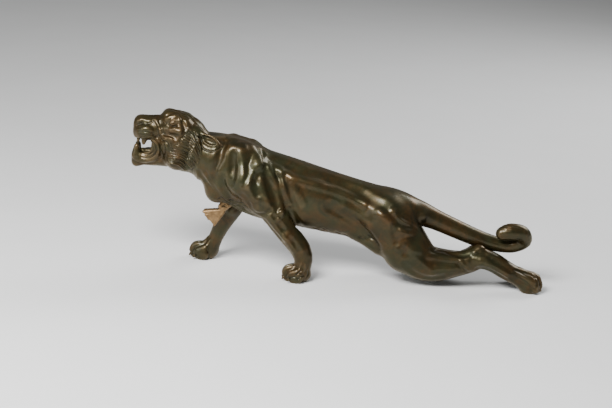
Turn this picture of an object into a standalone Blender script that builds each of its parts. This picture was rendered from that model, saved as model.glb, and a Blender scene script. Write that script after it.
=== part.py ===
"""Car mascot: a bronze tiger in full stride, about 250 mm from nose to paw.

The animal is cast in pieces that are fitted together with round spigots in sockets and held by
cross pins. It faces -X with its left flank at -Y. The four paws have flat undersides on z = 0.
Sizes are in millimetres, and mm() turns them into metres.
"""
import math

import bmesh
import bpy
from mathutils import Euler, Matrix, Vector

# Driving dimensions, millimetres.
GAP = 0.3                 # clearance between neighbouring pieces
VOXEL = 1.1               # how finely the muscles are fused
PIN_R = 1.1               # cross pins
BUSH_R = 2.5              # threaded bush under each paw
BUSH_BORE_R = 1.65        # tapping size of its M4 thread
BUSH_LENGTH = 6.0
WALL = 6.0                # thickness of the bronze around the hollow in the torso
PLUG_R = 3.2              # plug that closes the core hole in the belly
LUG_R = 2.3               # stem of the mounting lug under the chest
LUG_FLARE = (5.9, 2.4)    # half sizes of the lug's flat end
LUG_FLARE_LENGTH = 9.0
ROUND = 20                # sides of a round piece

# The trunk: position along the body, top of the back, belly line, half width.
TRUNK = (
    (-84, 81, 57, 11.5),
    (-76, 81.2, 48, 13),
    (-68, 80, 42, 14.5),
    (-58, 78.7, 38, 15.5),
    (-48, 75.5, 35, 15.5),
    (-38, 72.6, 32.5, 15.5),
    (-25, 69.2, 30.2, 15),
    (-12, 65.6, 28, 14.5),
    (3, 61.8, 26, 13.2),
    (13, 59.6, 24.9, 12.5),
    (23, 57.6, 25, 13),
    (33, 56.2, 27, 13.2),
    (42, 53.2, 32, 11),
    (49, 49.4, 36.5, 7.5),
    (56, 46, 37.5, 5),
)
HOLLOW = (-46, 12)        # the stretch of the trunk that is cast hollow
PLUG_X = -8

# Chains of the limbs and the tail: x, y, z and radius at each station.
FORELEG_LEFT = (
    (-38, -15, 40, 7.6),
    (-30, -15.5, 29.5, 6.6),
    (-23.5, -16, 20, 5.2),
    (-20.2, -16, 13, 4.9),
    (-20.5, -16, 7, 5.2),
)
FORELEG_RIGHT = (
    (-61, 13, 44, 8),
    (-65.5, 13.5, 33, 6.4),
    (-70, 14, 24, 5.2),
    (-74.2, 15, 14, 4.4),
    (-76.5, 15.5, 7.5, 4.8),
)
HINDLEG = (
    (42, 8.2, 20, 12.2),
    (52, 8, 14.2, 10.8),
    (62, 8, 13.2, 9.4),
    (72, 8, 14.6, 7.6),
    (80, 8, 16.6, 6.6),
    (86, 8, 19.3, 6.2),
    (94, 8, 17.4, 6),
    (102, 8, 13, 5.7),
    (110, 8, 9, 5.7),
)
FAR_LEG_DROP = 2.6        # the right hind leg is held lower
FAR_LEG_BACK = -3         # and its foot stands a little further forward
TAIL = (
    (40, 0, 45, 8),
    (48, 0, 43, 7),
    (58, 0, 39.8, 6.3),
    (70, 0, 35.2, 6.0),
    (82, 0, 30.8, 5.3),
    (90, 0, 28.2, 4.8),
    (98, -0.5, 26.8, 4.4),
    (106, -1.5, 27.1, 4.2),
    (111.8, -3.5, 30.6, 4.2),
    (109.5, -6, 34.9, 4.8),
    (102.5, -7.5, 35.4, 5),
    (98.5, -8, 33.8, 3.8),
)
PAWS = {
    "front_left": (-23, -16),
    "front_right": (-81.3, 16),
    "hind_left": (116, -7.8),
    "hind_right": (113, 7.8),
}

# Where the castings meet: the joint's line in the side view, upper point first, then the outline
# around the smaller casting.
NECK_LINE = ((-70, 84), (-82, 44))
NECK_REST = ((-100, 40), (-140, 40), (-140, 110), (-80, 110))
JAW_LINE = ((-107.5, 75.5), (-98.5, 57))
JAW_REST = ((-140, 50), (-140, 75.5))
ELBOW_LINE_LEFT = ((-22.4, 31.2), (-35.2, 21.4))
ELBOW_REST_LEFT = ((-45, -5), (0, -5), (-8, 20), (-17.5, 28.5))
ELBOW_LINE_RIGHT = ((-74.6, 34.9), (-58.4, 27.1))
ELBOW_REST_RIGHT = ((-50, -5), (-100, -5), (-100, 20))
THIGH_LINE = ((47, 36), (31, 9))
THIGH_REST = ((20, -5), (140, -5), (140, 32), (79, 32), (74, 27), (60, 31))
THIGH_ROOM = ((20, -5), (140, -5), (140, 36))
TAIL_LINE = ((54.6, 49), (49.6, 34))
TAIL_REST = ((60, 10), (140, 10), (140, 60), (70, 60))


def mm(*values):
    """Millimetres to metres: a number, or a vector from three of them."""
    scaled = [value / 1000 for value in values]
    return scaled[0] if len(scaled) == 1 else Vector(scaled)


def clear_scene():
    for item in list(bpy.data.objects):
        bpy.data.objects.remove(item)
    for mesh in list(bpy.data.meshes):
        bpy.data.meshes.remove(mesh)


def make_collection(name):
    group = bpy.data.collections.new(name)
    bpy.context.scene.collection.children.link(group)
    return group


def material(name, colour, metallic, roughness):
    surface = bpy.data.materials.new(name)
    surface.use_nodes = True
    shader = surface.node_tree.nodes["Principled BSDF"]
    shader.inputs["Base Color"].default_value = (*colour, 1)
    shader.inputs["Metallic"].default_value = metallic
    shader.inputs["Roughness"].default_value = roughness
    return surface


def make_object(name, bm, group, surface=None):
    mesh = bpy.data.meshes.new(name)
    bm.normal_update()
    bm.to_mesh(mesh)
    bm.free()
    item = bpy.data.objects.new(name, mesh)
    group.objects.link(item)
    if surface:
        mesh.materials.append(surface)
    return item


def make_cutter(name, bm):
    item = make_object(name, bm, CUTTERS)
    item.hide_render = True
    item.display_type = "WIRE"
    return item


def add_ball(bm, centre, radii, tilt=0):
    """An ellipsoid; tilt turns it about Y, in degrees."""
    place = Matrix.Translation(mm(*centre)) @ Euler((0, math.radians(tilt), 0)).to_matrix().to_4x4()
    size = Matrix.Diagonal((*mm(*radii), 1))
    bmesh.ops.create_uvsphere(bm, u_segments=24, v_segments=16, radius=1, matrix=place @ size)


def add_cone(bm, start, end, start_r, end_r, sides=ROUND):
    """A closed cone or cylinder between two points."""
    start, end = mm(*start), mm(*end)
    turn = (end - start).to_track_quat("Z", "Y").to_matrix().to_4x4()
    place = Matrix.Translation((start + end) / 2) @ turn
    bmesh.ops.create_cone(bm, cap_ends=True, segments=sides, radius1=mm(start_r), radius2=mm(end_r),
                          depth=(end - start).length, matrix=place)


def add_limb(bm, start, end, start_r, end_r):
    """A cone with a ball at each end."""
    add_cone(bm, start, end, start_r, end_r)
    add_ball(bm, start, (start_r,) * 3)
    add_ball(bm, end, (end_r,) * 3)


def add_chain(bm, stations):
    for first, second in zip(stations, stations[1:]):
        add_limb(bm, first[:3], second[:3], first[3], second[3])


def add_trunk(bm, sections, inset=0, power=2.3, sides=32):
    """A loft through superellipse sections across the body."""
    rings = []
    for x, top, bottom, half in sections:
        ring = []
        for index in range(sides):
            angle = 2 * math.pi * index / sides
            side, rise = math.cos(angle), math.sin(angle)
            reach = (abs(side) ** power + abs(rise) ** power) ** (-1 / power)
            y = (half - inset) * side * reach
            z = (top + bottom) / 2 + ((top - bottom) / 2 - inset) * rise * reach
            ring.append(bm.verts.new(mm(x, y, z)))
        rings.append(ring)
    for ring, following in zip(rings, rings[1:]):
        for index in range(sides):
            beside = (index + 1) % sides
            bm.faces.new((ring[index], ring[beside], following[beside], following[index]))
    bm.faces.new(reversed(rings[0]))
    bm.faces.new(rings[-1])
    bmesh.ops.recalc_face_normals(bm, faces=bm.faces)


def prism(name, outline, low_y, high_y):
    """A flat outline in the side view (x, z), extruded across the body."""
    bm = bmesh.new()
    face = bm.faces.new([bm.verts.new(mm(x, low_y, z)) for x, z in outline])
    swept = bmesh.ops.extrude_face_region(bm, geom=[face])
    moved = [item for item in swept["geom"] if isinstance(item, bmesh.types.BMVert)]
    bmesh.ops.translate(bm, verts=moved, vec=mm(0, high_y - low_y, 0))
    bmesh.ops.recalc_face_normals(bm, faces=bm.faces)
    return make_cutter(name, bm)


def rod(name, start, end, radius):
    bm = bmesh.new()
    add_cone(bm, start, end, radius, radius)
    return make_cutter(name, bm)


def modify(item, kind, cutter):
    step = item.modifiers.new(kind.lower(), "BOOLEAN")
    step.operation = kind
    step.solver = "EXACT"
    step.object = cutter


def bake(item):
    """Replaces an object's mesh by its evaluated mesh and drops its modifiers."""
    shape = item.evaluated_get(bpy.context.evaluated_depsgraph_get())
    mesh = bpy.data.meshes.new_from_object(shape)
    item.modifiers.clear()
    item.data = mesh


def fuse(item, voxel, smooth, keep):
    """Melts overlapping forms into one skin and thins its mesh to a share of the faces."""
    melt = item.modifiers.new("melt", "REMESH")
    melt.mode = "VOXEL"
    melt.voxel_size = mm(voxel)
    soften = item.modifiers.new("soften", "SMOOTH")
    soften.factor = 0.5
    soften.iterations = smooth
    thin = item.modifiers.new("thin", "DECIMATE")
    thin.ratio = keep
    bake(item)


def model_neck(bm):
    """Neck, withers and breast."""
    add_limb(bm, (-92, 0, 72.5), (-70, 0, 65), 11.5, 15)
    for side in (-1, 1):
        add_ball(bm, (-60, 5 * side, 71.5), (14, 7, 8.5), 12)
        add_ball(bm, (-71, 5 * side, 52), (9, 7.5, 11), 25)


def model_rump(bm):
    for side in (-1, 1):
        add_ball(bm, (26, 9 * side, 44), (16, 7.5, 11.5), 20)


def model_trunk(bm):
    add_trunk(bm, TRUNK)
    for side in (-1, 1):
        add_ball(bm, (-26, 9 * side, 49), (22, 7.5, 16), 8)


def model_front(bm):
    """The front of the trunk, behind the head."""
    add_trunk(bm, TRUNK[:4])


def model_back(bm):
    """The rear of the trunk, ahead of the tail."""
    add_trunk(bm, TRUNK[-5:])


def model_head(bm):
    """Skull, muzzle, chin, brows, eyes, cheeks, ruff, ears and lower fangs."""
    add_ball(bm, (-96, 0, 79), (15.5, 12.5, 13.6), 14)
    add_limb(bm, (-105, 0, 83.5), (-117.5, 0, 83.6), 8.6, 7.4)
    add_ball(bm, (-118.5, 0, 80), (6.8, 7.4, 5.8))
    add_ball(bm, (-121.8, 0, 85), (3.8, 4, 4.6), -30)
    add_ball(bm, (-94, 0, 68), (8.5, 8.5, 9.5))
    add_limb(bm, (-102, 0, 67.5), (-119, 0, 65.8), 6.8, 5.4)
    add_ball(bm, (-121.5, 0, 66.5), (4.6, 5.6, 5.6))
    for side in (-1, 1):
        add_ball(bm, (-104.5, 5.2 * side, 89.8), (5.4, 3.8, 3.8), -15)
        add_ball(bm, (-103.6, 7.9 * side, 87.2), (2.3, 2.3, 2.3))
        add_ball(bm, (-101, 8.2 * side, 81.6), (6.5, 3.8, 4), 10)
        add_ball(bm, (-113, 4.6 * side, 79.5), (8.5, 4, 4.6), 5)
        add_ball(bm, (-97, 9.5 * side, 74), (8.5, 5.3, 12))
        add_ball(bm, (-93, 9 * side, 68), (5.5, 4.6, 9.5), 8)
        add_limb(bm, (-87, 10.5 * side, 82), (-77, 13 * side, 78), 4, 2.4)
        add_cone(bm, (-121, 3.6 * side, 67), (-122.6, 3.6 * side, 73.6), 1.7, 0.9)


def model_forelegs(bm):
    """Shoulder blades, upper arms, forearms and front paws."""
    add_limb(bm, (-60, -9.5, 74), (-57, -13, 58), 6.5, 7.5)
    add_limb(bm, (-58, -13, 60), (-47, -14.5, 48), 8, 8.2)
    add_limb(bm, (-50, -11, 66), (-39, -14, 46), 6.5, 6.8)
    add_limb(bm, (-44, -14.5, 46), (-36.5, -15, 40), 8, 6.8)
    add_chain(bm, FORELEG_LEFT)
    add_limb(bm, (-62, 9.5, 72), (-63, 13, 56), 6.5, 7.5)
    add_limb(bm, (-63, 13, 57), (-59, 13.5, 46), 8, 8)
    add_limb(bm, (-54, 11, 62), (-52, 13, 46), 6, 5.5)
    add_chain(bm, FORELEG_RIGHT)
    for name in ("front_left", "front_right"):
        x, y = PAWS[name]
        add_ball(bm, (x, y, 4), (8.8, 6.8, 5.6))
        for index in range(4):
            across = (index - 1.5) * 3.1
            ahead = 6.4 - 0.5 * abs(across)
            add_ball(bm, (x - ahead, y + across, 3.6), (3.8, 2.2, 4.6))


def model_hindleg(bm, side, drop, shift):
    """One hind leg; side is -1 for the left."""
    hip = (26, 9 * side, 41)
    add_limb(bm, hip, (41, 8.5 * side, 21.5 - drop), 10.5, 11.5)
    add_limb(bm, (36, 8 * side, 38), (50, 8 * side, 18 - drop), 8.5, 9.5)
    stations = []
    for x, y, z, radius in HINDLEG:
        reach = min(max((x - 72) / 8, 0), 1)
        lift = min(max((x - 94) / 16, 0), 1)
        stations.append((x + shift * reach, y * side, z - drop * (1 - lift), radius))
    add_chain(bm, stations)
    add_limb(bm, (76 + shift, 8 * side, 17.5 - drop), (84 + shift, 8.6 * side, 23.6 - drop), 4.5, 3.6)
    x, y = PAWS["hind_left" if side < 0 else "hind_right"]
    add_ball(bm, (x, y, 5), (9.2, 6.2, 6.6), 6)
    for index in range(4):
        across = (index - 1.5) * 2.8
        behind = 6.2 - 0.5 * abs(across)
        add_ball(bm, (x + behind, y + across, 5), (3.8, 2.1, 6))


def model_hindlegs(bm):
    model_hindleg(bm, -1, 0, 0)
    model_hindleg(bm, 1, FAR_LEG_DROP, FAR_LEG_BACK)


def model_tail(bm):
    add_chain(bm, TAIL)


def model_tail_root(bm):
    add_chain(bm, TAIL[:3])


def make_skin(name, models, keep, voxel=VOXEL, smooth=4):
    """The skin of one stretch of the animal, which its castings are cut from."""
    bm = bmesh.new()
    for model in models:
        model(bm)
    item = make_cutter(name, bm)
    fuse(item, voxel, smooth, keep)
    return item


def cast(name, skin):
    """A casting that starts as a copy of a skin."""
    item = bpy.data.objects.new(name, skin.data.copy())
    item.data.materials.append(BRONZE)
    PARTS.objects.link(item)
    return item


def offset_line(line, distance):
    """Moves a joint's line sideways in the side view, towards -X for a positive distance."""
    (x1, z1), (x2, z2) = line
    along = Vector((x2 - x1, z2 - z1)).normalized()
    across = Vector((along.y, -along.x)) * distance
    return (x1 + across.x, z1 + across.y), (x2 + across.x, z2 + across.y)


def line_axis(line):
    """The direction square to a joint's line, pointing towards -X."""
    (x1, z1), (x2, z2) = line
    along = Vector((x2 - x1, 0, z2 - z1)).normalized()
    return Vector((along.z, 0, -along.x))


def keep_limb(limb, line, rest, side, span=(-40, 40)):
    """Keeps one side of a joint line for the limb."""
    outline = offset_line(line, side * GAP / 2) + rest
    modify(limb, "INTERSECT", prism(limb.name + "_region", outline, *span))


def make_room(owner, name, line, rest, side, span=(-40, 40)):
    """Takes the limb's side of a joint line off its owner."""
    outline = offset_line(line, -side * GAP / 2) + rest
    modify(owner, "DIFFERENCE", prism(name + "_room", outline, *span))


def split(owner, limb, line, rest, side, span=(-40, 40)):
    keep_limb(limb, line, rest, side, span)
    make_room(owner, limb.name, line, rest, side, span)


def spigot_joint(owner, limb, skin, line, share, y, side, radius, depth, pin_span):
    """A spigot on the limb in a socket of the owner, and a cross pin along Y through both."""
    (x1, z1), (x2, z2) = line
    point = Vector((x1 + (x2 - x1) * share, y, z1 + (z2 - z1) * share))
    inward = line_axis(line) * -side
    tip = point + inward * depth
    root = point - inward * radius
    modify(owner, "DIFFERENCE", rod(limb.name + "_socket", root, tip + inward * GAP, radius + GAP))
    modify(limb, "UNION", rod(limb.name + "_spigot", root, tip, radius))
    middle = point + inward * depth / 2
    low, high = (Vector((middle.x, end, middle.z)) for end in pin_span)
    clear = Vector((0, GAP, 0))
    bore = rod(limb.name + "_pin_bore", low - clear, high + clear, PIN_R + GAP)
    modify(owner, "DIFFERENCE", bore)
    modify(limb, "DIFFERENCE", bore)
    bm = bmesh.new()
    add_cone(bm, low, high, PIN_R, PIN_R)
    pin = make_object(limb.name + "_pin", bm, PARTS, PIN_BRONZE)
    modify(pin, "INTERSECT", skin)


def make_bush(name, paw):
    """A threaded bush, flush with the flat underside of a paw."""
    x, y = PAWS[name]
    bm = bmesh.new()
    add_cone(bm, (x, y, 0), (x, y, BUSH_LENGTH), BUSH_R, BUSH_R, 24)
    item = make_object("paw_bush_" + name, bm, PARTS, BRASS)
    modify(item, "DIFFERENCE", rod(name + "_thread", (x, y, -1), (x, y, BUSH_LENGTH + 1), BUSH_BORE_R))
    modify(paw, "DIFFERENCE", rod(name + "_seat", (x, y, -1), (x, y, BUSH_LENGTH + GAP), BUSH_R + GAP))


def make_lug(torso):
    """A stem from the chest that flares into a flat-ended fan."""
    end = Vector((-78, 0, 30.2))
    outward = Vector((-0.771, 0, -0.636)).normalized()
    stem_length = 14
    root = end - outward * (LUG_FLARE_LENGTH + stem_length)
    flare_start = end - outward * LUG_FLARE_LENGTH
    bm = bmesh.new()
    add_cone(bm, root, flare_start, LUG_R, LUG_R)
    cap = max(bm.faces, key=lambda face: face.calc_center_median().dot(outward))
    swept = bmesh.ops.extrude_face_region(bm, geom=[cap])
    bmesh.ops.delete(bm, geom=[cap], context="FACES_ONLY")
    rim = [item for item in swept["geom"] if isinstance(item, bmesh.types.BMVert)]
    centre = mm(*flare_start)
    across = Vector((0, 1, 0))
    for vert in rim:
        offset = vert.co - centre
        flat = across * offset.dot(across)
        tall = offset - flat
        vert.co = mm(*end) + tall * (LUG_FLARE[0] / LUG_R) + flat * (LUG_FLARE[1] / LUG_R)
    bmesh.ops.recalc_face_normals(bm, faces=bm.faces)
    make_object("chest_lug", bm, PARTS, RAW_BRONZE)
    modify(torso, "DIFFERENCE", rod("lug_socket", root - outward * GAP, end, LUG_R + GAP))


def make_tongue(grow):
    """The tongue, or with grow the trough it lies in."""
    stations = ((-104.5, 0, 71, 2.9), (-111, 0, 70.4, 2.9), (-116.5, 0, 71, 2.3), (-118.4, 0, 72.6, 1.8))
    bm = bmesh.new()
    add_chain(bm, [(x, y, z, radius + grow) for x, y, z, radius in stations])
    item = make_cutter("tongue_trough", bm)
    fuse(item, 0.5, 2, 0.08)
    return item


def make_mouth(pieces):
    """The open mouth: a wedge between the jaws."""
    palate = ((-131, 76.2), (-116, 77.5), (-109, 75.8))
    floor = ((-106.5, 73), (-110, 70.8), (-117, 70.4), (-131, 73.4))
    wedge = prism("mouth", palate + floor, -30, 30)
    for piece in pieces:
        modify(piece, "DIFFERENCE", wedge)


def make_fangs(head):
    for side in (-1, 1):
        bm = bmesh.new()
        add_cone(bm, (-118, 4 * side, 79), (-119.6, 4 * side, 73.9), 1.4, 0.35, 10)
        modify(head, "UNION", make_cutter("fang", bm))


def make_plug(torso, skin):
    """The hollow of the torso, its core hole in the belly and the plug that fills the hole."""
    bm = bmesh.new()
    inside = [row for row in TRUNK if HOLLOW[0] - 6 < row[0] < HOLLOW[1] + 6]
    add_trunk(bm, inside, WALL, 2, 16)
    hollow = make_cutter("hollow", bm)
    bottom = (PLUG_X, 0, 15)
    inner = (PLUG_X, 0, 45)
    modify(torso, "DIFFERENCE", hollow)
    modify(torso, "DIFFERENCE", rod("core_hole", bottom, inner, PLUG_R + GAP))
    bm = bmesh.new()
    add_cone(bm, bottom, (PLUG_X, 0, 32), PLUG_R, PLUG_R, 24)
    item = make_object("belly_plug", bm, PARTS, BRONZE)
    modify(item, "INTERSECT", skin)


def make_head(torso, skin, tongue, trough):
    head = cast("head", skin)
    jaw = cast("lower_jaw", skin)
    cast("tongue", tongue)
    split(torso, head, NECK_LINE, NECK_REST, 1)
    split(head, jaw, JAW_LINE, JAW_REST, 1, (-7.6, 7.6))
    make_mouth((head, jaw))
    for piece in (head, jaw):
        modify(piece, "DIFFERENCE", trough)
    make_fangs(head)
    spigot_joint(torso, head, skin, NECK_LINE, 0.48, 0, 1, 7, 8, (-25, 9))
    spigot_joint(head, jaw, skin, JAW_LINE, 0.55, 0, 1, 2.4, 5, (-20, 5))


def make_forelegs(torso, skin):
    left = cast("foreleg_left", skin)
    right = cast("foreleg_right", skin)
    split(torso, left, ELBOW_LINE_LEFT, ELBOW_REST_LEFT, -1, (-35, -9))
    split(torso, right, ELBOW_LINE_RIGHT, ELBOW_REST_RIGHT, 1, (5, 35))
    spigot_joint(torso, left, skin, ELBOW_LINE_LEFT, 0.48, -15.6, -1, 3, 6, (-28, -5))
    spigot_joint(torso, right, skin, ELBOW_LINE_RIGHT, 0.5, 13.6, 1, 3, 6, (4, 28))
    for leg, name in ((left, "front_left"), (right, "front_right")):
        modify(leg, "DIFFERENCE", GROUND)
        make_bush(name, leg)


def make_hindlegs(torso, skin):
    left = cast("hindleg_left", skin)
    right = cast("hindleg_right", skin)
    keep_limb(left, THIGH_LINE, THIGH_REST, -1, (-40, -GAP / 2))
    keep_limb(right, THIGH_LINE, THIGH_REST, -1, (GAP / 2, 40))
    make_room(torso, "hindlegs", THIGH_LINE, THIGH_ROOM, -1)
    spigot_joint(torso, left, skin, THIGH_LINE, 0.45, -8.3, -1, 4, 8, (-28, -2))
    spigot_joint(torso, right, skin, THIGH_LINE, 0.45, 8.3, -1, 4, 8, (2, 28))
    for leg, name in ((left, "hind_left"), (right, "hind_right")):
        modify(leg, "DIFFERENCE", GROUND)
        make_bush(name, leg)


def make_tail(torso, skin):
    tail = cast("tail", skin)
    split(torso, tail, TAIL_LINE, TAIL_REST, -1)
    spigot_joint(torso, tail, skin, TAIL_LINE, 0.47, 0, -1, 3, 6, (-14, 14))


clear_scene()
PARTS = make_collection("hood_ornament")
CUTTERS = make_collection("cutters")
BRONZE = material("patinated_bronze", (0.11, 0.075, 0.035), 0.85, 0.38)
PIN_BRONZE = material("pin_bronze", (0.13, 0.09, 0.045), 0.85, 0.4)
RAW_BRONZE = material("raw_bronze", (0.42, 0.29, 0.12), 0.9, 0.5)
BRASS = material("brass", (0.6, 0.45, 0.18), 0.95, 0.35)

# The skins come first: each is fused once, before any piece is cut from it.
BODY = (model_neck, model_trunk, model_rump, model_forelegs, model_hindlegs, model_tail_root)
BODY_SKIN = make_skin("body_skin", BODY, 0.062)
HEAD_SKIN = make_skin("head_skin", (model_neck, model_front, model_head), 0.05, 0.7)
TAIL_SKIN = make_skin("tail_skin", (model_back, model_rump, model_tail), 0.06, 0.8)
TONGUE = make_tongue(0)
TROUGH = make_tongue(2 * GAP)
GROUND = prism("ground", ((-160, -20), (160, -20), (160, 0), (-160, 0)), -40, 40)

TORSO = cast("torso", BODY_SKIN)
make_head(TORSO, HEAD_SKIN, TONGUE, TROUGH)
make_forelegs(TORSO, BODY_SKIN)
make_hindlegs(TORSO, BODY_SKIN)
make_tail(TORSO, TAIL_SKIN)
make_lug(TORSO)
make_plug(TORSO, BODY_SKIN)
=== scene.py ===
"""A bronze hood ornament: a roaring tiger at full stride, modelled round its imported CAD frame.

The figure is sculpted in blocks of clay. Each block is a grid of signed distances, in millimetres:
large forms are added first, then muscles, then lines are drawn on the surface. Each block is cut at
the castings' joints and turned into meshes, so that every casting is a piece of its own.
The tiger faces -X, stands on Z = 0, and its left flank is on -Y.
"""
import functools
import math

import bpy
import numpy as np
from mathutils import Euler, Matrix, Vector


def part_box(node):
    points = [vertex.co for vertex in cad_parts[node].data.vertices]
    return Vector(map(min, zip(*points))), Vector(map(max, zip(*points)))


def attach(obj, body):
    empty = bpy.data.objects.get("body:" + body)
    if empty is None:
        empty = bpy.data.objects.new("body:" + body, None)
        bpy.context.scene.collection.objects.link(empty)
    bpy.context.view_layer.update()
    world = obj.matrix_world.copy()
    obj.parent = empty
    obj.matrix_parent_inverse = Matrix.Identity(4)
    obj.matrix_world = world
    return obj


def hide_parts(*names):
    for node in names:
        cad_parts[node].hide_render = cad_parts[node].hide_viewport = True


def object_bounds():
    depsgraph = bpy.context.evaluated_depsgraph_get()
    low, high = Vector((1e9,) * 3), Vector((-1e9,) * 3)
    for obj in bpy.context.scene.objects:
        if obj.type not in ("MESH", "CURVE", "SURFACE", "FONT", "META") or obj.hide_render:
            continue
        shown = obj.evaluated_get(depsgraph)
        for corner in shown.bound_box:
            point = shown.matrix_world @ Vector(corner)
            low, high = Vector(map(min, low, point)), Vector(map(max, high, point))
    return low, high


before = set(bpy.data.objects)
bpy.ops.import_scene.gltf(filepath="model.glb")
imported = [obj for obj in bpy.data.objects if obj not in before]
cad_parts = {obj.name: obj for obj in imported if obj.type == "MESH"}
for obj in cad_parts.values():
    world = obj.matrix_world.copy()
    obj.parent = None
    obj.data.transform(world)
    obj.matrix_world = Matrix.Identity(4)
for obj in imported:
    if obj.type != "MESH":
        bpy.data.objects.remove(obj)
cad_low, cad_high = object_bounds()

# ---- scale and resolution

F = np.float32
FAR = 9.0                      # distance stored where there is no clay, mm
CLAY_LENGTH = 251.1            # from nose to hind paw, mm
CLAY_MIDDLE = 0.475            # the clay's x = 0 lies this far behind the middle of the length, mm
MM = (cad_high.x - cad_low.x) / CLAY_LENGTH   # metres in the frame for a millimetre of clay
ORIGIN = Vector(((cad_low.x + cad_high.x) / 2 + CLAY_MIDDLE * MM, 0.0, cad_low.z))
COARSE = 1.0
VOXEL_HEAD = 0.34 * COARSE
VOXEL_PAW = 0.36 * COARSE
VOXEL_BODY = 0.55 * COARSE
VOXEL_REAR = 0.44 * COARSE
VOXEL_TONGUE = 0.3 * COARSE
VOXEL_LUG = 0.28 * COARSE
VOXEL_PLUG = 0.22 * COARSE
BESIDE = 27.0                  # further out than the flanks, mm
ABOVE = 101.0                  # higher than the head, mm
LEFT, RIGHT = -1, 1
SIDES = (LEFT, RIGHT)


def in_clay(point):
    """A point of the frame, in metres, as a clay point, in millimetres."""
    return (Vector(point) - ORIGIN) / MM


def clay_box(node):
    """The corners of a CAD node's box, in millimetres of clay."""
    return [in_clay(corner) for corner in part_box(node)]


def on_side(side, row):
    """A row of numbers that starts with (x, y, z), with y on one side of the figure."""
    return (row[0], side * row[1], *row[2:])


# ---- clay

class Clay:
    """A block of signed distances on a regular grid, in millimetres."""

    def __init__(self, low, high, voxel):
        self.voxel = voxel
        self.low = np.array(low, float)
        count = [int(math.ceil((h - l) / voxel)) + 1 for l, h in zip(low, high)]
        self.axes = [(l + voxel * np.arange(n)).astype(F) for l, n in zip(low, count)]
        self.level = np.full(count, FAR, F)

    def window(self, low, high):
        """The slices of the grid that cover a box, or None if it lies outside the block."""
        spans = []
        for k in range(3):
            first = max(0, int(math.floor((low[k] - self.low[k]) / self.voxel)))
            last = min(self.level.shape[k], int(math.ceil((high[k] - self.low[k]) / self.voxel)) + 1)
            if last <= first:
                return None
            spans.append(slice(first, last))
        return tuple(spans)

    def measure(self, span, distance):
        """A shape's distances over the slices of the grid."""
        x, y, z = (axis[part] for axis, part in zip(self.axes, span))
        return distance(x[:, None, None], y[None, :, None], z[None, None, :])

    def press(self, shapes, blend, sign):
        """Joins the shapes into one, and adds it to the clay or cuts it away."""
        pad = blend + 2.5 * self.voxel
        low = np.min([s[0] for s in shapes], axis=0) - pad
        high = np.max([s[1] for s in shapes], axis=0) + pad
        whole = self.window(low, high)
        if whole is None:
            return
        field = np.full([s.stop - s.start for s in whole], FAR, F)
        for near, far, distance in shapes:
            part = self.window(np.array(near) - pad, np.array(far) + pad)
            if part is None:
                continue
            local = tuple(slice(p.start - w.start, p.stop - w.start) for p, w in zip(part, whole))
            field[local] = np.minimum(field[local], self.measure(part, distance))
        self.level[whole] = sign * smooth_min(sign * self.level[whole], field, blend)

    def add(self, shapes, blend=1.0):
        self.press(shapes, blend, 1)

    def cut(self, shapes, blend=0.5):
        self.press(shapes, blend, -1)

    def rod(self, a, b, radius_a, radius_b, blend, flat=1.0):
        self.add([limb(a, b, radius_a, radius_b, flat)], blend)

    def blob(self, centre, radii, blend, turn=(0, 0, 0)):
        self.add([ball(centre, radii, turn)], blend)

    def keep(self, region, overlap):
        """Keeps only the clay inside a region grown by overlap."""
        low, high, distance = region
        span = self.window(np.array(low) - 1.0, np.array(high) + 1.0)
        kept = np.full_like(self.level, FAR)
        kept[span] = np.maximum(self.level[span], self.measure(span, distance) - F(overlap))
        self.level = kept

    def read(self, points):
        """The distances at points in millimetres."""
        return sample(self.level, (points - self.low) / self.voxel)

    def normals(self, points):
        return gradient(self.level, ((points - self.low) / self.voxel).astype(F))

    def hits(self, starts, direction, reach):
        """Where lines from the starts first meet the clay. Lines that miss are left out."""
        starts, direction = np.array(starts, float), np.array(direction, float)
        travel = np.linspace(0, reach, int(reach / (0.7 * self.voxel)) + 2)
        line = starts[:, None, :] + travel[None, :, None] * direction
        level = self.read(line.reshape(-1, 3)).reshape(len(starts), -1)
        first = (level < 0).argmax(1)
        row = np.arange(len(starts))
        before, after = level[row, first - 1], level[row, first]
        good = (first > 0) & (after < 0) & (before < 3 * self.voxel)
        share = before / np.where(good, before - after, 1)
        depth = travel[first - 1] + share * (travel[first] - travel[first - 1])
        return (starts + depth[:, None] * direction)[good]


def smooth_min(a, b, k):
    if k <= 0:
        return np.minimum(a, b)
    h = np.maximum(k - np.abs(a - b), 0) / k
    return np.minimum(a, b) - h * h * (k * 0.25)


def sample(level, grid):
    """Values between the grid's points; FAR outside the grid."""
    size = np.array(level.shape)
    outside = ((grid < 0) | (grid > size - 1)).any(1)
    base = np.clip(np.floor(grid).astype(np.int32), 0, size - 2)
    tx, ty, tz = np.clip(grid - base, 0, 1).astype(F).T
    x, y, z = base.T

    def row(b, c):
        return level[x, y + b, z + c] * (1 - tx) + level[x + 1, y + b, z + c] * tx

    lower = row(0, 0) * (1 - ty) + row(1, 0) * ty
    upper = row(0, 1) * (1 - ty) + row(1, 1) * ty
    return np.where(outside, FAR, lower * (1 - tz) + upper * tz)


def gradient(level, grid, step=0.7):
    out = np.empty_like(grid)
    for k in range(3):
        offset = np.zeros(3, F)
        offset[k] = step
        out[:, k] = sample(level, grid + offset) - sample(level, grid - offset)
    return out / np.maximum(np.linalg.norm(out, axis=1), 1e-9)[:, None]


# ---- shapes: (low, high, distance)

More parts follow.
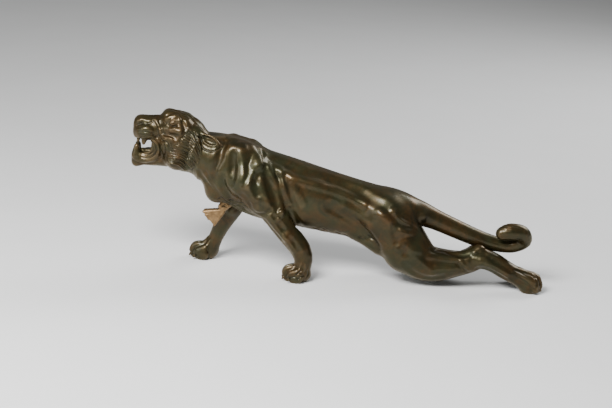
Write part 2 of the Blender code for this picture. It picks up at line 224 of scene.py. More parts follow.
def ball(centre, radii, turn=(0, 0, 0)):
    """An ellipsoid; turn is in degrees about x, y and z."""
    to_local = np.array(Euler([math.radians(t) for t in turn]).to_matrix()).T
    c = np.array(centre, float)
    r = np.array(radii, float)
    extent = np.sqrt(((to_local.T * r) ** 2).sum(1))

    def distance(x, y, z):
        dx, dy, dz = x - F(c[0]), y - F(c[1]), z - F(c[2])
        k0 = 0
        k1 = 0
        for i in range(3):
            q = (F(to_local[i, 0]) * dx + F(to_local[i, 1]) * dy + F(to_local[i, 2]) * dz) / F(r[i])
            k0 = k0 + q * q
            k1 = k1 + (q / F(r[i])) ** 2
        k0 = np.sqrt(k0)
        return k0 * (k0 - 1) / (np.sqrt(k1) + F(1e-6))

    return c - extent, c + extent, distance


def limb(a, b, radius_a, radius_b, flat=1.0):
    """A tapered rod with round ends; flat squeezes it across, along y."""
    a = np.array(a, float)
    b = np.array(b, float)
    thick = max(radius_a, radius_b)
    squeeze = np.array([1, 1 / flat, 1])
    start, along = a * squeeze, (b - a) * squeeze
    length2 = float(along @ along) + 1e-9
    taper = radius_a - radius_b
    slant2 = max(length2 - taper * taper, 1e-6)

    def distance(x, y, z):
        px, py, pz = x - F(start[0]), y * F(squeeze[1]) - F(start[1]), z - F(start[2])
        t = px * F(along[0]) + py * F(along[1]) + pz * F(along[2])
        s = t - F(length2)
        p2 = px * px + py * py + pz * pz
        side = F(length2) * np.maximum(F(length2) * p2 - t * t, 0)
        t2 = t * t * F(length2)
        s2 = s * s * F(length2)
        k = F(np.sign(taper) * taper * taper) * side
        past_b = np.sign(s) * F(slant2) * s2 > k
        before_a = np.sign(t) * F(slant2) * t2 < k
        out = (np.sqrt(side * F(slant2 / length2)) + t * F(taper)) / F(length2) - F(radius_a)
        out = np.where(before_a, np.sqrt(side + t2) / F(length2) - F(radius_a), out)
        out = np.where(past_b, np.sqrt(side + s2) / F(length2) - F(radius_b), out)
        return out * F(min(1.0, 0.5 + 0.5 * flat))

    return np.minimum(a, b) - thick, np.maximum(a, b) + thick, distance


def curve(rows, step):
    """Points about a step apart on a smooth curve through rows of numbers."""
    rows = np.array(rows, float)
    out = []
    for i in range(len(rows) - 1):
        p0, p1 = rows[max(i - 1, 0)], rows[i]
        p2, p3 = rows[i + 1], rows[min(i + 2, len(rows) - 1)]
        count = max(2, int(math.ceil(np.linalg.norm((p2 - p1)[:3]) / step)))
        for t in np.arange(count)[:, None] / count:
            out.append(0.5 * (2 * p1 + (p2 - p0) * t + (2 * p0 - 5 * p1 + 4 * p2 - p3) * t ** 2
                              + (3 * p1 - p0 - 3 * p2 + p3) * t ** 3))
    out.append(rows[-1])
    return np.array(out)


def tube(rows, flat=1.0, step=4.0, side=RIGHT):
    """Rods along a smooth curve through rows of (x, y, z, radius), with y on one side."""
    points = curve([on_side(side, row) for row in rows], step)
    return [limb(p[:3], q[:3], p[3], q[3], flat) for p, q in zip(points, points[1:])]


def loft(sections, power):
    """A body along x through rows of (x, top, bottom, half width)."""
    rows = np.array(sections, float)
    xs = rows[:, 0]

    def between(x, values):
        slope = np.gradient(values, xs)
        i = np.clip(np.searchsorted(xs, x) - 1, 0, len(xs) - 2)
        h = xs[i + 1] - xs[i]
        t = np.clip((x - xs[i]) / h, 0, 1)
        return ((2 * t ** 3 - 3 * t ** 2 + 1) * values[i] + (t ** 3 - 2 * t ** 2 + t) * h * slope[i]
                + (3 * t ** 2 - 2 * t ** 3) * values[i + 1] + (t ** 3 - t ** 2) * h * slope[i + 1])

    def distance(x, y, z):
        flat = x.reshape(-1).astype(float)
        top, bottom, half = (between(flat, rows[:, k])[:, None, None].astype(F) for k in (1, 2, 3))
        middle, height = (top + bottom) / 2, (top - bottom) / 2
        k0 = (np.abs(y / half) ** power + np.abs((z - middle) / height) ** power) ** F(1 / power)
        ends = np.maximum(F(xs[0]) - x, x - F(xs[-1]))
        return np.maximum((k0 - 1) * np.minimum(half, height) * F(0.95), ends)

    low = (xs[0] - 3, -rows[:, 3].max(), rows[:, 2].min())
    high = (xs[-1] + 3, rows[:, 3].max(), rows[:, 1].max())
    return low, high, distance


def well(x, y, radius, depth):
    """An upright round hole from the ground up."""

    def distance(px, py, pz):
        round_wall = np.sqrt((px - F(x)) ** 2 + (py - F(y)) ** 2) - F(radius)
        return np.maximum(round_wall, pz - F(depth))

    return (x - radius, y - radius, -2.0), (x + radius, y + radius, depth), distance


def ground():
    """Everything below the plane that the paws stand on."""
    return (-200, -60, -5), (200, 60, 0), lambda x, y, z: z + 0 * x + 0 * y


# ---- lines drawn on the clay

def emboss(clay, points, radius, depth, blend):
    """A groove along points on the surface, or a ridge if depth is negative; both fade at their ends."""
    if len(points) < 2:
        return
    strength = np.sin(np.linspace(0.12, 0.88, len(points)) * math.pi) ** 0.6
    sign = 1 if depth > 0 else -1
    lift = sign * (radius - abs(depth) * strength)
    centres = points + clay.normals(points) * lift[:, None]
    gap = np.linalg.norm(np.diff(points, axis=0), axis=1)
    joined = gap < 4 * radius + 2
    rods = [limb(a, b, radius, radius) for a, b, keep in zip(centres, centres[1:], joined) if keep]
    if rods:
        clay.press(rods, blend, -sign)


def flank(clay, side, path, radius, depth, blend):
    """A line drawn on one flank along a path of (x, z)."""
    points = curve(path, max(clay.voxel, 0.7 * radius))
    starts = [(x, side * BESIDE, z) for x, z in points]
    emboss(clay, clay.hits(starts, (0, -side, 0), BESIDE), radius, depth, blend)


def crown(clay, path, radius, depth, blend):
    """A line drawn from above along a path of (x, y)."""
    points = curve(path, max(clay.voxel, 0.7 * radius))
    starts = [(x, y, ABOVE) for x, y in points]
    emboss(clay, clay.hits(starts, (0, 0, -1), ABOVE), radius, depth, blend)


def draw(clay, side, lines, width=1.0, depth=1.0, groove=1.0, ridge=1.0):
    """Lines on one flank, from rows of (radius, depth, blend, path of (x, z)).

    A depth below 0 raises a ridge. The four factors scale all the rows: their radius, their depth,
    and the blend of the grooves and of the ridges.
    """
    for radius, deep, blend, path in lines:
        soft = ridge if deep < 0 else groove
        flank(clay, side, path, width * radius, depth * deep, soft * blend)


def spot(clay, side, x, z):
    """The surface point of one flank at (x, z), and the normal there; None off the clay."""
    met = clay.hits([(x, side * BESIDE, z)], (0, -side, 0), BESIDE)
    if not len(met):
        return None, None
    return met[0], clay.normals(met)[0]


def knob(clay, side, x, z, radii, lift, blend):
    """A rounded form set on the flank, its centre lift above the surface."""
    at, normal = spot(clay, side, x, z)
    if at is not None:
        clay.blob(at + normal * lift, radii, blend)


# ---- torso

# x, top, bottom, half width
TRUNK = [(-84, 81, 57, 11.5), (-76, 81.2, 48, 13.0), (-68, 80, 41.4, 14.5), (-58, 78.7, 36.4, 15.5),
         (-48, 75.7, 33.4, 15.5), (-38, 73.1, 31.9, 15.5), (-25, 69.8, 30.0, 15), (-12, 66.2, 28.0, 14.5),
         (3, 62.3, 26.0, 13.2), (13, 59.9, 24.7, 12.5), (23, 57.7, 24.6, 13), (33, 56.2, 27, 13.2),
         (42, 53.2, 32, 11), (49, 49.4, 36.5, 7.5), (56, 46, 37.5, 5)]


def body_mass(clay):
    clay.add([loft(TRUNK, 2.3)], 0)
    clay.rod((-92, 0, 72.5), (-70, 0, 65), 12.0, 16.0, 6, 0.9)
    for s in SIDES:
        clay.blob((-60, 5 * s, 71.5), (13, 6, 8), 5, (0, 12, 0))
        clay.blob((-72, 5 * s, 52.5), (8.8, 7.2, 11), 4, (0, 25, 0))
        clay.blob((26, 8.9 * s, 42.2), (15, 5.7, 10.2), 6, (0, 20, 0))
        clay.blob((-26, 9.5 * s, 49), (20, 6.5, 15), 5, (0, 8, 0))
        clay.rod((11, 5.0 * s, 28.6), (25, 7.0 * s, 22.8), 3.4, 5.6, 4)


def shoulders(clay):
    """Upper arms: the left one reaches back, the right one forward."""
    clay.rod((-60, -9.5, 74), (-57, -13, 58), 6.5, 7.5, 4)
    clay.rod((-58, -13, 60), (-47, -14.5, 48), 8, 8.2, 4)
    clay.rod((-50, -11, 66), (-39, -14, 46), 6.5, 6.8, 3)
    clay.rod((-44, -14.5, 46), (-36.5, -15, 40), 8, 6.8, 3)
    clay.rod((-62, 9.0, 70.4), (-63, 13, 56), 6.2, 7.5, 4)
    clay.rod((-63, 13, 57), (-58, 13.5, 46), 8, 8.0, 4)
    clay.rod((-54, 11, 62), (-52, 13, 46), 6.0, 5, 3)


FORELEG_LEFT = [(-38, -15, 40, 7.6), (-30, -15.5, 29.5, 6.6), (-21.9, -16, 20, 6.2),
                (-19.5, -16, 13, 5.4), (-20.5, -16, 7, 5.2)]
FORELEG_RIGHT = [(-61, 13, 44, 8.0), (-65.5, 13.5, 33, 6.4), (-70, 14, 24, 5.2),
                 (-74.2, 15, 14, 4.4), (-76.5, 15.5, 7.5, 4.8)]
PAW_X_LEFT, PAW_X_RIGHT = -23.0, -81.3


def ramp(value, low=0):
    return min(max(value, low), 1)


def swing(side, path):
    """Shoulder lines of the left flank, carried forward with the right arm on the other flank."""
    if side == LEFT:
        return path
    reach = 19
    return [(x - reach * (ramp((-24 - x) / 18) * ramp((70 - z) / 26)), z) for x, z in path]


SHOULDER_LINES = [
    (3.0, -0.8, 1.6, [(-62.5, 78.5), (-61, 74), (-58.6, 69), (-58.2, 64), (-59.6, 59.5), (-61, 55)]),
    (3.2, -1.2, 1.6, [(-50, 73), (-50.2, 69.5), (-51.4, 65.5), (-53.6, 61.4), (-55, 58)]),
    (3.4, -0.7, 1.8, [(-67, 76), (-67.8, 70), (-68, 64.5), (-66.6, 59), (-63, 52.5)]),
    (3.0, -1.2, 1.4, [(-54.5, 57.5), (-51.4, 54), (-49.8, 50.5)]),
    (2.6, -1.2, 1.2, [(-48.4, 62), (-46.6, 57.5), (-44.4, 53), (-42.6, 49.5)]),
    (1.5, 1.0, 1.2, [(-47.2, 69), (-48.6, 65), (-50.8, 61.5), (-51.6, 57.5), (-49.4, 53.4)]),
    (1.3, 0.8, 1.0, [(-56, 70), (-55.2, 65.5), (-56.2, 61.5), (-57.6, 58.5)]),
    (1.4, 0.9, 1.2, [(-64.8, 76), (-64.2, 69), (-63.8, 63), (-64.6, 58)]),
    (1.5, 0.9, 1.2, [(-70.6, 72), (-71.2, 66), (-70.8, 58), (-69.2, 52.6), (-66.6, 48.6), (-63.4, 45),
     (-59, 41), (-53, 37.4)]),
    (1.3, 0.9, 1.0, [(-45.8, 65), (-43.6, 58), (-41.4, 52.5), (-39.8, 48.5)]),
    (1.6, 1.5, 1.2, [(-45.4, 68), (-43, 62), (-40.2, 55), (-37.8, 49), (-36.4, 44.6)]),
    (2.4, -1.1, 1.2, [(-43.4, 66.4), (-40.4, 62.8), (-37.4, 59), (-35, 55.4), (-33.6, 50)]),
    (1.3, 0.9, 1.0, [(-38.6, 65), (-36, 58.6), (-34.2, 53.5), (-32.2, 48.5)]),
    (2.2, -0.9, 1.2, [(-36.6, 66), (-34, 60), (-32.2, 54), (-30, 48)]),
    (1.4, 0.8, 1.2, [(-33.6, 64.5), (-31, 57.5), (-28.4, 51.5), (-25.4, 46)]),
    (2.6, -0.5, 1.6, [(-30.4, 60), (-27.6, 53.5), (-24, 47)]),
    (1.2, 0.8, 1.0, [(-53, 46.4), (-50.6, 43.2), (-47.4, 41.6), (-43.4, 41.8), (-40.6, 44)]),
    (2.0, -0.7, 1.2, [(-58, 50), (-54, 45.6), (-49, 44)]),
    (1.4, 0.8, 1.2, [(-30.2, 43.5), (-27, 39), (-24.4, 34.8), (-22.4, 31.2)]),
    (1.1, 0.7, 0.8, [(-50.6, 79), (-48, 75.4), (-47, 71.8), (-45.6, 69)]),
    (2.4, -0.7, 1.4, [(-53.4, 78.2), (-51.6, 74.5), (-50.4, 71)]),
]

NECK_LINES = [
    (3.0, -0.5, 2.2, [(-66, 81.4), (-68.6, 75), (-70.6, 68), (-72, 61), (-72.6, 54)]),
    (2.0, 0.4, 2.0, [(-70.4, 80), (-73, 73), (-74.6, 66), (-75, 59)]),
    (3.0, -0.3, 2.2, [(-73.6, 79), (-76.6, 71), (-78, 64), (-77.4, 57)]),
    (1.8, 0.5, 1.8, [(-84.6, 62), (-81.4, 57.4), (-77.6, 53), (-74, 48.6), (-71, 44.6)]),
    (1.6, 0.35, 1.6, [(-80, 62), (-77, 56.6), (-73.8, 52), (-71, 48)]),
]

# the edge between the back and the flank, and the fold in front of the thigh
FLANK_LINES = [
    (5.0, 0.5, 3.2, [(-40, 70.5), (-30, 67.2), (-18, 64.2), (-4, 60.6), (8, 56.6), (18, 52.8), (27, 49.6)]),
    (2.6, -0.75, 2.0, [(-43, 69.2), (-37.4, 66.9), (-31, 63.8), (-24, 61.4), (-12, 58.8), (-4, 56.6),
     (6, 52.8), (14, 49.4)]),
    (3.6, 0.7, 3.0, [(-6, 46.4), (3, 41.6), (12, 36.8), (19, 30.6), (24, 24)]),
    (3.6, -0.4, 2.6, [(2, 46), (11, 41.4), (19, 36), (25, 29), (28.5, 22)]),
]

RUMP_LINES = [
    (2.8, -0.9, 2.0, [(23, 46), (27.4, 42.8), (30.4, 39.5)]),
    (1.8, -0.6, 1.4, [(30.6, 48), (33.6, 45), (37.4, 42), (42.4, 39.6), (46.4, 37.8)]),
    (1.8, 0.7, 1.6, [(32, 44.6), (34.6, 41), (37.6, 38.6), (42, 37.8)]),
    (2.8, -0.8, 2.0, [(37.4, 36.8), (40, 35.6), (42.2, 35.4)]),
    (1.8, 0.6, 1.6, [(34.4, 45.6), (38.6, 43), (43, 40.4), (47, 38)]),
    (3.2, -0.6, 2.4, [(41.4, 29.4), (43.8, 26.4), (47, 24.6)]),
    (2.4, 0.4, 2.2, [(32, 39.6), (33, 34), (35.5, 28), (40, 23)]),
]


CHEST_LINES = [
    (0.8, 0.8, 0.6, [(-72.5, 44), (-69.6, 41.6), (-66.2, 41.4), (-62, 39.4), (-56, 37.4)]),
    (0.7, 0.7, 0.6, [(-70.6, 47.4), (-67.4, 44.2), (-63.6, 42), (-59.4, 39.6)]),
]


def chest_folds(clay):
    """Short folds of skin behind the lug; the right arm covers them on the other side."""
    dice = np.random.default_rng(5)
    for k in range(26):
        x = -73 + 16 * dice.random()
        z = 38.6 + 7.5 * dice.random()
        lean = -0.9 + 1.9 * dice.random()
        length = 1.6 + 2.4 * dice.random()
        path = [(x, z), (x + 0.5 * length, z - 0.35 * length * lean - 0.3), (x + length, z - lean)]
        flank(clay, LEFT, path, 0.45, 0.5, 0.35)
    draw(clay, LEFT, CHEST_LINES)


def belly_fur(clay):
    """Soft locks along the belly and in the groin."""
    dice = np.random.default_rng(11)
    for side in SIDES:
        for k in range(30):
            x = -16 + 42 * dice.random()
            z = 27.5 + 3.5 * dice.random() - 0.06 * (x + 16)
            reach = 2.2 + 2.0 * dice.random()
            path = [(x, z + 1.6), (x + 0.5 * reach, z + 0.5), (x + reach, z - 0.3)]
            flank(clay, side, path, 0.5, 0.3, 0.5)


def torso_lines(clay):
    for side in SIDES:
        muscles = [(*row[:3], swing(side, row[3])) for row in SHOULDER_LINES]
        draw(clay, side, muscles, width=1.25, depth=0.72, groove=1.6, ridge=1.8)
        for lines in (NECK_LINES, FLANK_LINES, RUMP_LINES):
            draw(clay, side, lines)


# ---- forelegs and paws

ELBOW_LINES = {
    LEFT: [(0.9, 0.4, 1.2, [(-32.6, 46), (-31.4, 42.6), (-33, 39.6)]),
           (2.2, -0.4, 1.8, [(-41.6, 40.4), (-38, 35.4), (-33.6, 30.4), (-28.8, 25.6), (-25, 20.6)]),
           (1.6, 0.4, 1.6, [(-38.4, 41), (-35.2, 36), (-31, 31), (-26.6, 26.4), (-22.8, 20.6)]),
           (1.6, 0.3, 1.6, [(-43.6, 37), (-38.4, 31), (-33.6, 26.4)])],
    RIGHT: [(2.0, -0.4, 1.8, [(-64.6, 40), (-68, 32), (-71.6, 24), (-75, 16)]),
            (1.6, 0.4, 1.6, [(-61.4, 39), (-65, 31), (-68.6, 23), (-72, 15)])],
}


def elbow_lines(clay):
    for x, z, r in ((-34.6, 43.2, 1.5), (-36.4, 38.8, 1.2)):
        knob(clay, LEFT, x, z, (r, 1.0, r), -0.1, 1.6)
    for side in SIDES:
        draw(clay, side, ELBOW_LINES[side])
    knob(clay, RIGHT, -55.6, 41.5, (1.5, 1.0, 1.6), -0.1, 1.6)


def paw(clay, x, y, heading):
    """A spread forepaw centred at (x, y) on the ground, its toes pointing to -X."""
    turn = math.radians(heading)

    def at(forward, across, up):
        return (x - forward * math.cos(turn) + across * math.sin(turn),
                y + forward * math.sin(turn) + across * math.cos(turn), up)

    clay.blob(at(-1.0, 0, 4.2), (7.6, 5.8, 5.4), 2, (0, 0, -heading))
    toes = ((1.2, -5.0, -16, 4.3), (4.0, -1.8, -5, 5.2), (4.0, 1.8, 5, 5.2), (1.2, 5.0, 16, 4.3))
    for forward, across, splay, tall in toes:
        spin = (0, 10, splay - heading)
        clay.blob(at(forward, across, tall - 0.5), (5.0, 1.95, tall), 0.5, spin)
        clay.blob(at(forward - 1.6, across, tall + 2.6), (2.6, 1.5, 2.2), 0.9, spin)
        reach = math.radians(splay) * 4
        clay.rod(at(forward - 3.0, across * 0.9, 8.4), at(forward - 6.6, across * 0.5, 13.0), 1.3, 0.9, 1.4)
        root = at(forward + 3.8, across + reach, 2.7)
        tip = at(forward + 4.6, across + 1.1 * reach, 1.7)
        clay.cut([ball(at(forward + 4.4, across + 1.1 * reach, 3.3), (1.1, 1.1, 0.8))], 0.3)
        clay.rod(root, tip, 0.8, 0.5, 0.3)
    for across in (-3.4, 0, 3.4):
        lean = 0.25 * across
        clay.cut([limb(at(7.4, across + lean, 1.5), at(5.2, across + 0.6 * lean, 7.6), 0.45, 0.4),
                  limb(at(5.2, across + 0.6 * lean, 7.6), at(0.6, across, 10.6), 0.4, 0.25)], 0.6)


# tendons, the wrist and small marks; x runs from the middle of the paw
FOREPAW_LINES = [
    (0.7, -0.5, 0.6, [(2.4, 13.0), (1.8, 10.6), (1.2, 8.6)]),
    (0.7, -0.4, 0.6, [(4.6, 12.2), (4.6, 9.8), (3.6, 7.6)]),
    (0.5, 0.6, 0.4, [(-0.6, 5.4), (1.0, 7.2), (2.6, 8.4)]),
    (0.45, 0.45, 0.4, [(1.0, 3.2), (2.4, 4.8), (4.4, 5.2)]),
    (0.6, -0.5, 0.3, [(0.2, 5.4), (1.6, 6.6)]),
    (0.4, 0.4, 0.35, [(-3.8, 3.2), (-1.6, 4.4), (1.2, 3.6)]),
    (0.6, 0.4, 0.6, [(6.6, 8.0), (6.9, 5.6), (5.6, 3.2)]),
]


def foreleg_lines(clay):
    for side, paw_x in ((LEFT, PAW_X_LEFT), (RIGHT, PAW_X_RIGHT)):
        draw(clay, side, [(*row[:3], [(paw_x + x, z) for x, z in row[3]]) for row in FOREPAW_LINES])


# ---- hind legs

HIND_LEFT = [(42, -8, 20, 12.5), (52, -7.5, 14.2, 10.8), (62, -7.5, 13.2, 9.4), (72, -7.5, 14.6, 7.6),
             (80, -7.5, 16.6, 6.6), (86, -7.5, 19.3, 6.4), (94, -7.5, 17.4, 6.0), (102, -7.5, 13, 5.7),
             (109, -7.5, 9.6, 5.4)]
HIND_RIGHT = [(42, 8, 17, 12.5), (52, 7.5, 10.9, 10.2), (62, 7.5, 9.8, 8.7), (72, 7.5, 11.0, 6.8),
              (80, 7.5, 12.6, 6.0), (86, 7.5, 14.8, 5.8), (92.5, 7.5, 13.4, 5.6), (99, 7.5, 10.4, 5.3),
              (105, 7.5, 8.2, 5.0)]


def hind_leg(clay, side):
    """A hind leg stretched out behind; the right one is lower, and its foot is further forward."""
    y = side * 7.5
    if side == LEFT:
        path, drop, hock, foot_x, foot_tall = HIND_LEFT, 0.0, 24.0, 116, 1.0
    else:
        path, drop, hock, foot_x, foot_tall = HIND_RIGHT, -3.0, 19.0, 111, 0.76
    clay.rod((26, side * 9, 41), (40, side * 8.7, 22 + drop), 12, 13.2, 4, 0.84)
    clay.rod((36, side * 8, 38), (50, side * 8, 18 + drop), 9, 10.3, 4, 0.86)
    clay.add(tube(path), 2)
    clay.rod((76, y, hock - 6.5), (84.5, y, hock), 4.5, 3.6, 3)
    hind_foot(clay, foot_x, side * 7.8, foot_tall)


def hind_foot(clay, x, y, tall):
    """Four long toes, laid back and curled down to the ground; tall scales their height."""
    clay.blob((x - 0.4, y, 6.4 * tall), (7.6, 5.6, 6.2 * tall), 2, (0, 14, 0))
    clay.blob((x + 1.0, y, 2.0), (5.0, 4.4, 4.0), 1.6)
    for across, back, rise in ((-4.3, -1.8, -0.8), (-1.5, 0.3, 0.2), (1.5, 0.3, 0.2), (4.3, -1.8, -0.8)):
        clay.add(tube([(x - 8 + back, y + across * 0.75, (13.2 + rise) * tall, 2.0),
                       (x - 1 + back, y + across * 0.95, (10.6 + rise) * tall, 2.7),
                       (x + 4.6 + back, y + across, (8.4 + rise) * tall, 3.1 * tall),
                       (x + 6.2 + back, y + across, 3.6, 2.6 * tall)], 0.7), 0.7)
        clay.cut([ball((x + 8.0 + back, y + across, 3.4), (1.1, 1.0, 0.9))], 0.3)
        clay.rod((x + 7.3 + back, y + across, 2.9), (x + 8.0 + back, y + across, 1.9), 0.8, 0.5, 0.3)


REAR_LINES = [
    (2.4, -0.5, 1.8, [(54, 21.6), (61.7, 20.5), (68.3, 19.3), (73.6, 19.0), (78, 20.6), (82, 23)]),
    (1.8, 0.4, 1.6, [(56, 24.6), (62.4, 22.8), (69, 21.6), (75, 21.4), (79.6, 23)]),
    (2.0, 0.4, 1.8, [(58, 17.4), (64, 17), (70, 16.8), (75.6, 17.2)]),
    (2.2, -0.3, 1.6, [(60, 13.2), (66, 14), (72, 15.6), (77.6, 17.4)]),
    (1.3, 0.4, 1.2, [(72.4, 16.8), (75.4, 14.4), (78.6, 11.6)]),
    (1.2, -0.3, 1.2, [(74, 18.6), (76.4, 16.2), (79.4, 13.6)]),
    (1.8, -0.5, 1.4, [(81.6, 24.6), (83.4, 26.2), (86.6, 26.8), (90, 25.6)]),
    (1.4, 0.4, 1.2, [(80.4, 21.6), (83.6, 23.2), (87.4, 23.4), (91, 21.6)]),
    (2.5, -0.8, 1.6, [(84.6, 18.8), (87.4, 19), (90.6, 17.6)]),
    (1.8, -0.35, 1.6, [(89.6, 18), (95.6, 15.2), (102.4, 11.8)]),
    (1.6, 0.35, 1.6, [(84, 14.4), (90, 14), (96, 12), (102, 8.8)]),
    (1.4, 0.35, 1.6, [(92, 21), (98, 17.8), (104, 14.4)]),
    (0.8, 0.45, 0.8, [(106.6, 14.8), (110.4, 13.4), (114, 12), (118, 10.4)]),
    (0.8, 0.5, 0.8, [(108.6, 12), (112.4, 9.2), (116, 6.6), (120, 4.2)]),
    (0.9, -0.3, 0.8, [(109.8, 10.6), (113.4, 8.2), (117.4, 6.2), (121, 5)]),
    (0.5, 0.4, 0.5, [(117.6, 13.2), (120.8, 11.4), (122.6, 8), (121.8, 3.6)]),
    (0.5, 0.4, 0.5, [(119.6, 13.4), (123.2, 10.8), (124.4, 7)]),
    (0.45, 0.35, 0.45, [(115, 13), (118.4, 11.4), (120.4, 8.6), (120.2, 5)]),
    (2.0, -0.4, 2.0, [(47, 20), (52, 16), (58, 10.6)]),
    (2.4, 0.4, 2.0, [(41, 16), (47, 10.4), (55, 7.4), (64, 8.6)]),
]


def lowered(path):
    """Lines of the left hind leg, moved on to the right one."""
    out = []
    for x, z in path:
        drop = (3.0 + 1.8 * ramp((x - 72) / 12)) * ramp((112 - x) / 18, 0.2)
        out.append((x - 5.0 * ramp((x - 86) / 24), max(z - drop, 1.5)))
    return out


def rear_lines(clay):
    draw(clay, LEFT, REAR_LINES)
    draw(clay, RIGHT, [(*row[:3], lowered(row[3])) for row in REAR_LINES])


# ---- tail

TAIL = [(40, 0, 44.8, 8.4), (48, 0, 42.7, 7.5), (58, 0, 39.2, 6.2), (70, 0, 34.6, 5.7), (82, 0, 30.2, 5.3),
        (90, 0, 27.9, 4.9), (98, -0.5, 26.5, 4.5), (106, -1.5, 26.9, 4.3), (111.8, -3.5, 30.9, 4.4),
        (109.4, -6, 36.0, 4.9), (102.3, -7.5, 37.0, 5.1), (97.7, -8, 35.8, 4.0)]


def tail_fur(clay):
    """Long hairs drawn along the curled tip."""
    for k in range(9):
        z = 33.8 + 0.85 * k
        path = [(96.4, z), (100.5, z + 0.9), (105, z + 0.6), (109.4, z - 0.8)]
        flank(clay, LEFT, path, 0.4, 0.25, 0.4)


# ---- head

def head_mass(clay):
    clay.blob((-95.5, 0, 79.6), (14.6, 12.4, 13.4), 3, (0, 14, 0))
    clay.rod((-104.5, 0, 83.4), (-117.6, 0, 83.8), 8.8, 7.5, 3, 0.84)
    clay.blob((-118.8, 0, 80.2), (6.4, 6.4, 5.2), 3)
    clay.blob((-121.4, 0, 86.4), (3.9, 4.4, 4.6), 1.6)
    clay.rod((-104.8, 0, 92.0), (-96, 0, 88.0), 3.5, 5.8, 2.5)
    for s in SIDES:
        clay.rod((-104.6, 3.0 * s, 91.6), (-96, 4.4 * s, 88.4), 3.7, 5.3, 2.5)
        clay.rod((-104.6, 5.6 * s, 90.4), (-98.4, 7.6 * s, 90.2), 2.5, 2.6, 1.6)
        clay.blob((-117.2, 4.5 * s, 82.2), (5.8, 4.3, 5.0), 1.6)
        clay.rod((-106.8, 6.8 * s, 84.8), (-96.5, 9.6 * s, 85.2), 2.4, 3.0, 2)
        clay.blob((-99, 7.2 * s, 75.5), (8.8, 5.4, 9.5), 3, (0, 10, 0))
    clay.rod((-100.5, 0, 67.3), (-119.5, 0, 65.9), 6.5, 5.1, 2, 1.18)
    clay.blob((-121.8, 0, 66.4), (4.2, 5.8, 6.0), 2)
    clay.rod((-122.8, -2.6, 62.9), (-122.8, 2.6, 62.9), 2.7, 2.7, 1.6)
    clay.blob((-94, 0, 68), (8, 8.8, 9), 3)
    for s in SIDES:
        clay.blob((-98.2, 8.0 * s, 67.6), (7.4, 5.8, 6.6), 2.5, (0, 20, 0))


# the lip and the folds inside it, from the outermost in: x, y, z, radius
LIPS = [
    [(-123.2, 4.4, 66.9, 0.9), (-119.2, 5.6, 65.6, 0.95), (-114.6, 6.2, 65.8, 1.0),
     (-110.9, 6.6, 68.2, 1.0), (-109.2, 6.6, 72.0, 1.0), (-110.4, 6.3, 75.8, 1.0),
     (-113.6, 5.9, 78.0, 0.9)],
    [(-120.4, 5.0, 67.4, 0.7), (-116.2, 5.7, 67.3, 0.8), (-112.8, 6.0, 69.2, 0.8), (-111.4, 6.0, 72.2, 0.8),
     (-112.4, 5.7, 75.2, 0.75)],
    [(-117.4, 4.9, 69.0, 0.6), (-114.6, 5.3, 70.0, 0.7), (-113.5, 5.3, 72.4, 0.65)],
]
# root, tip, their radii and blend: the canines, an upper side tooth, lower side teeth, incisors
TEETH = [((-117.8, 5.3, 79.8), (-118.5, 5.2, 75.2), 2.5, 1.05, 0.6),
         ((-123.0, 3.6, 67.6), (-122.7, 3.5, 72.7), 2.6, 1.6, 0.8),
         ((-113.4, 5.4, 79.0), (-113.6, 5.4, 76.8), 1.3, 0.7, 0.4)]
TEETH += [((x, 5.0, 66.6), (x, 4.9, 68.5), 1.05, 0.6, 0.35) for x in (-120.6, -118.2, -115.8)]
for across in (0.75, 2.1):
    TEETH += [((-121.8, across, 78.8), (-122.2, across, 75.6), 1.3, 0.8, 0.5),
              ((-123.6, across, 68.4), (-123.4, across, 72.4), 1.15, 0.85, 0.4)]


def mouth(clay):
    """The open mouth: its hollow, the cheeks inside it, the lips and the teeth."""
    clay.cut([ball((-119.6, 0, 73.8), (6.8, 14, 4.6))], 0.8)
    clay.cut([ball((-114.6, 0, 70.6), (8.6, 4.6, 5.4))], 0.8)
    for s in SIDES:
        clay.cut([ball((-116.2, 10.4 * s, 72.1), (9.4, 5.0, 6.9))], 0.5)
        clay.blob((-110.4, 5.4 * s, 72.2), (3.5, 1.1, 7.0), 0.8, (0, -8, 0))
        for path in LIPS:
            clay.add(tube(path, step=1.0, side=s), 0.4)
        for root, tip, root_radius, tip_radius, blend in TEETH:
            clay.rod(on_side(s, root), on_side(s, tip), root_radius, tip_radius, blend)


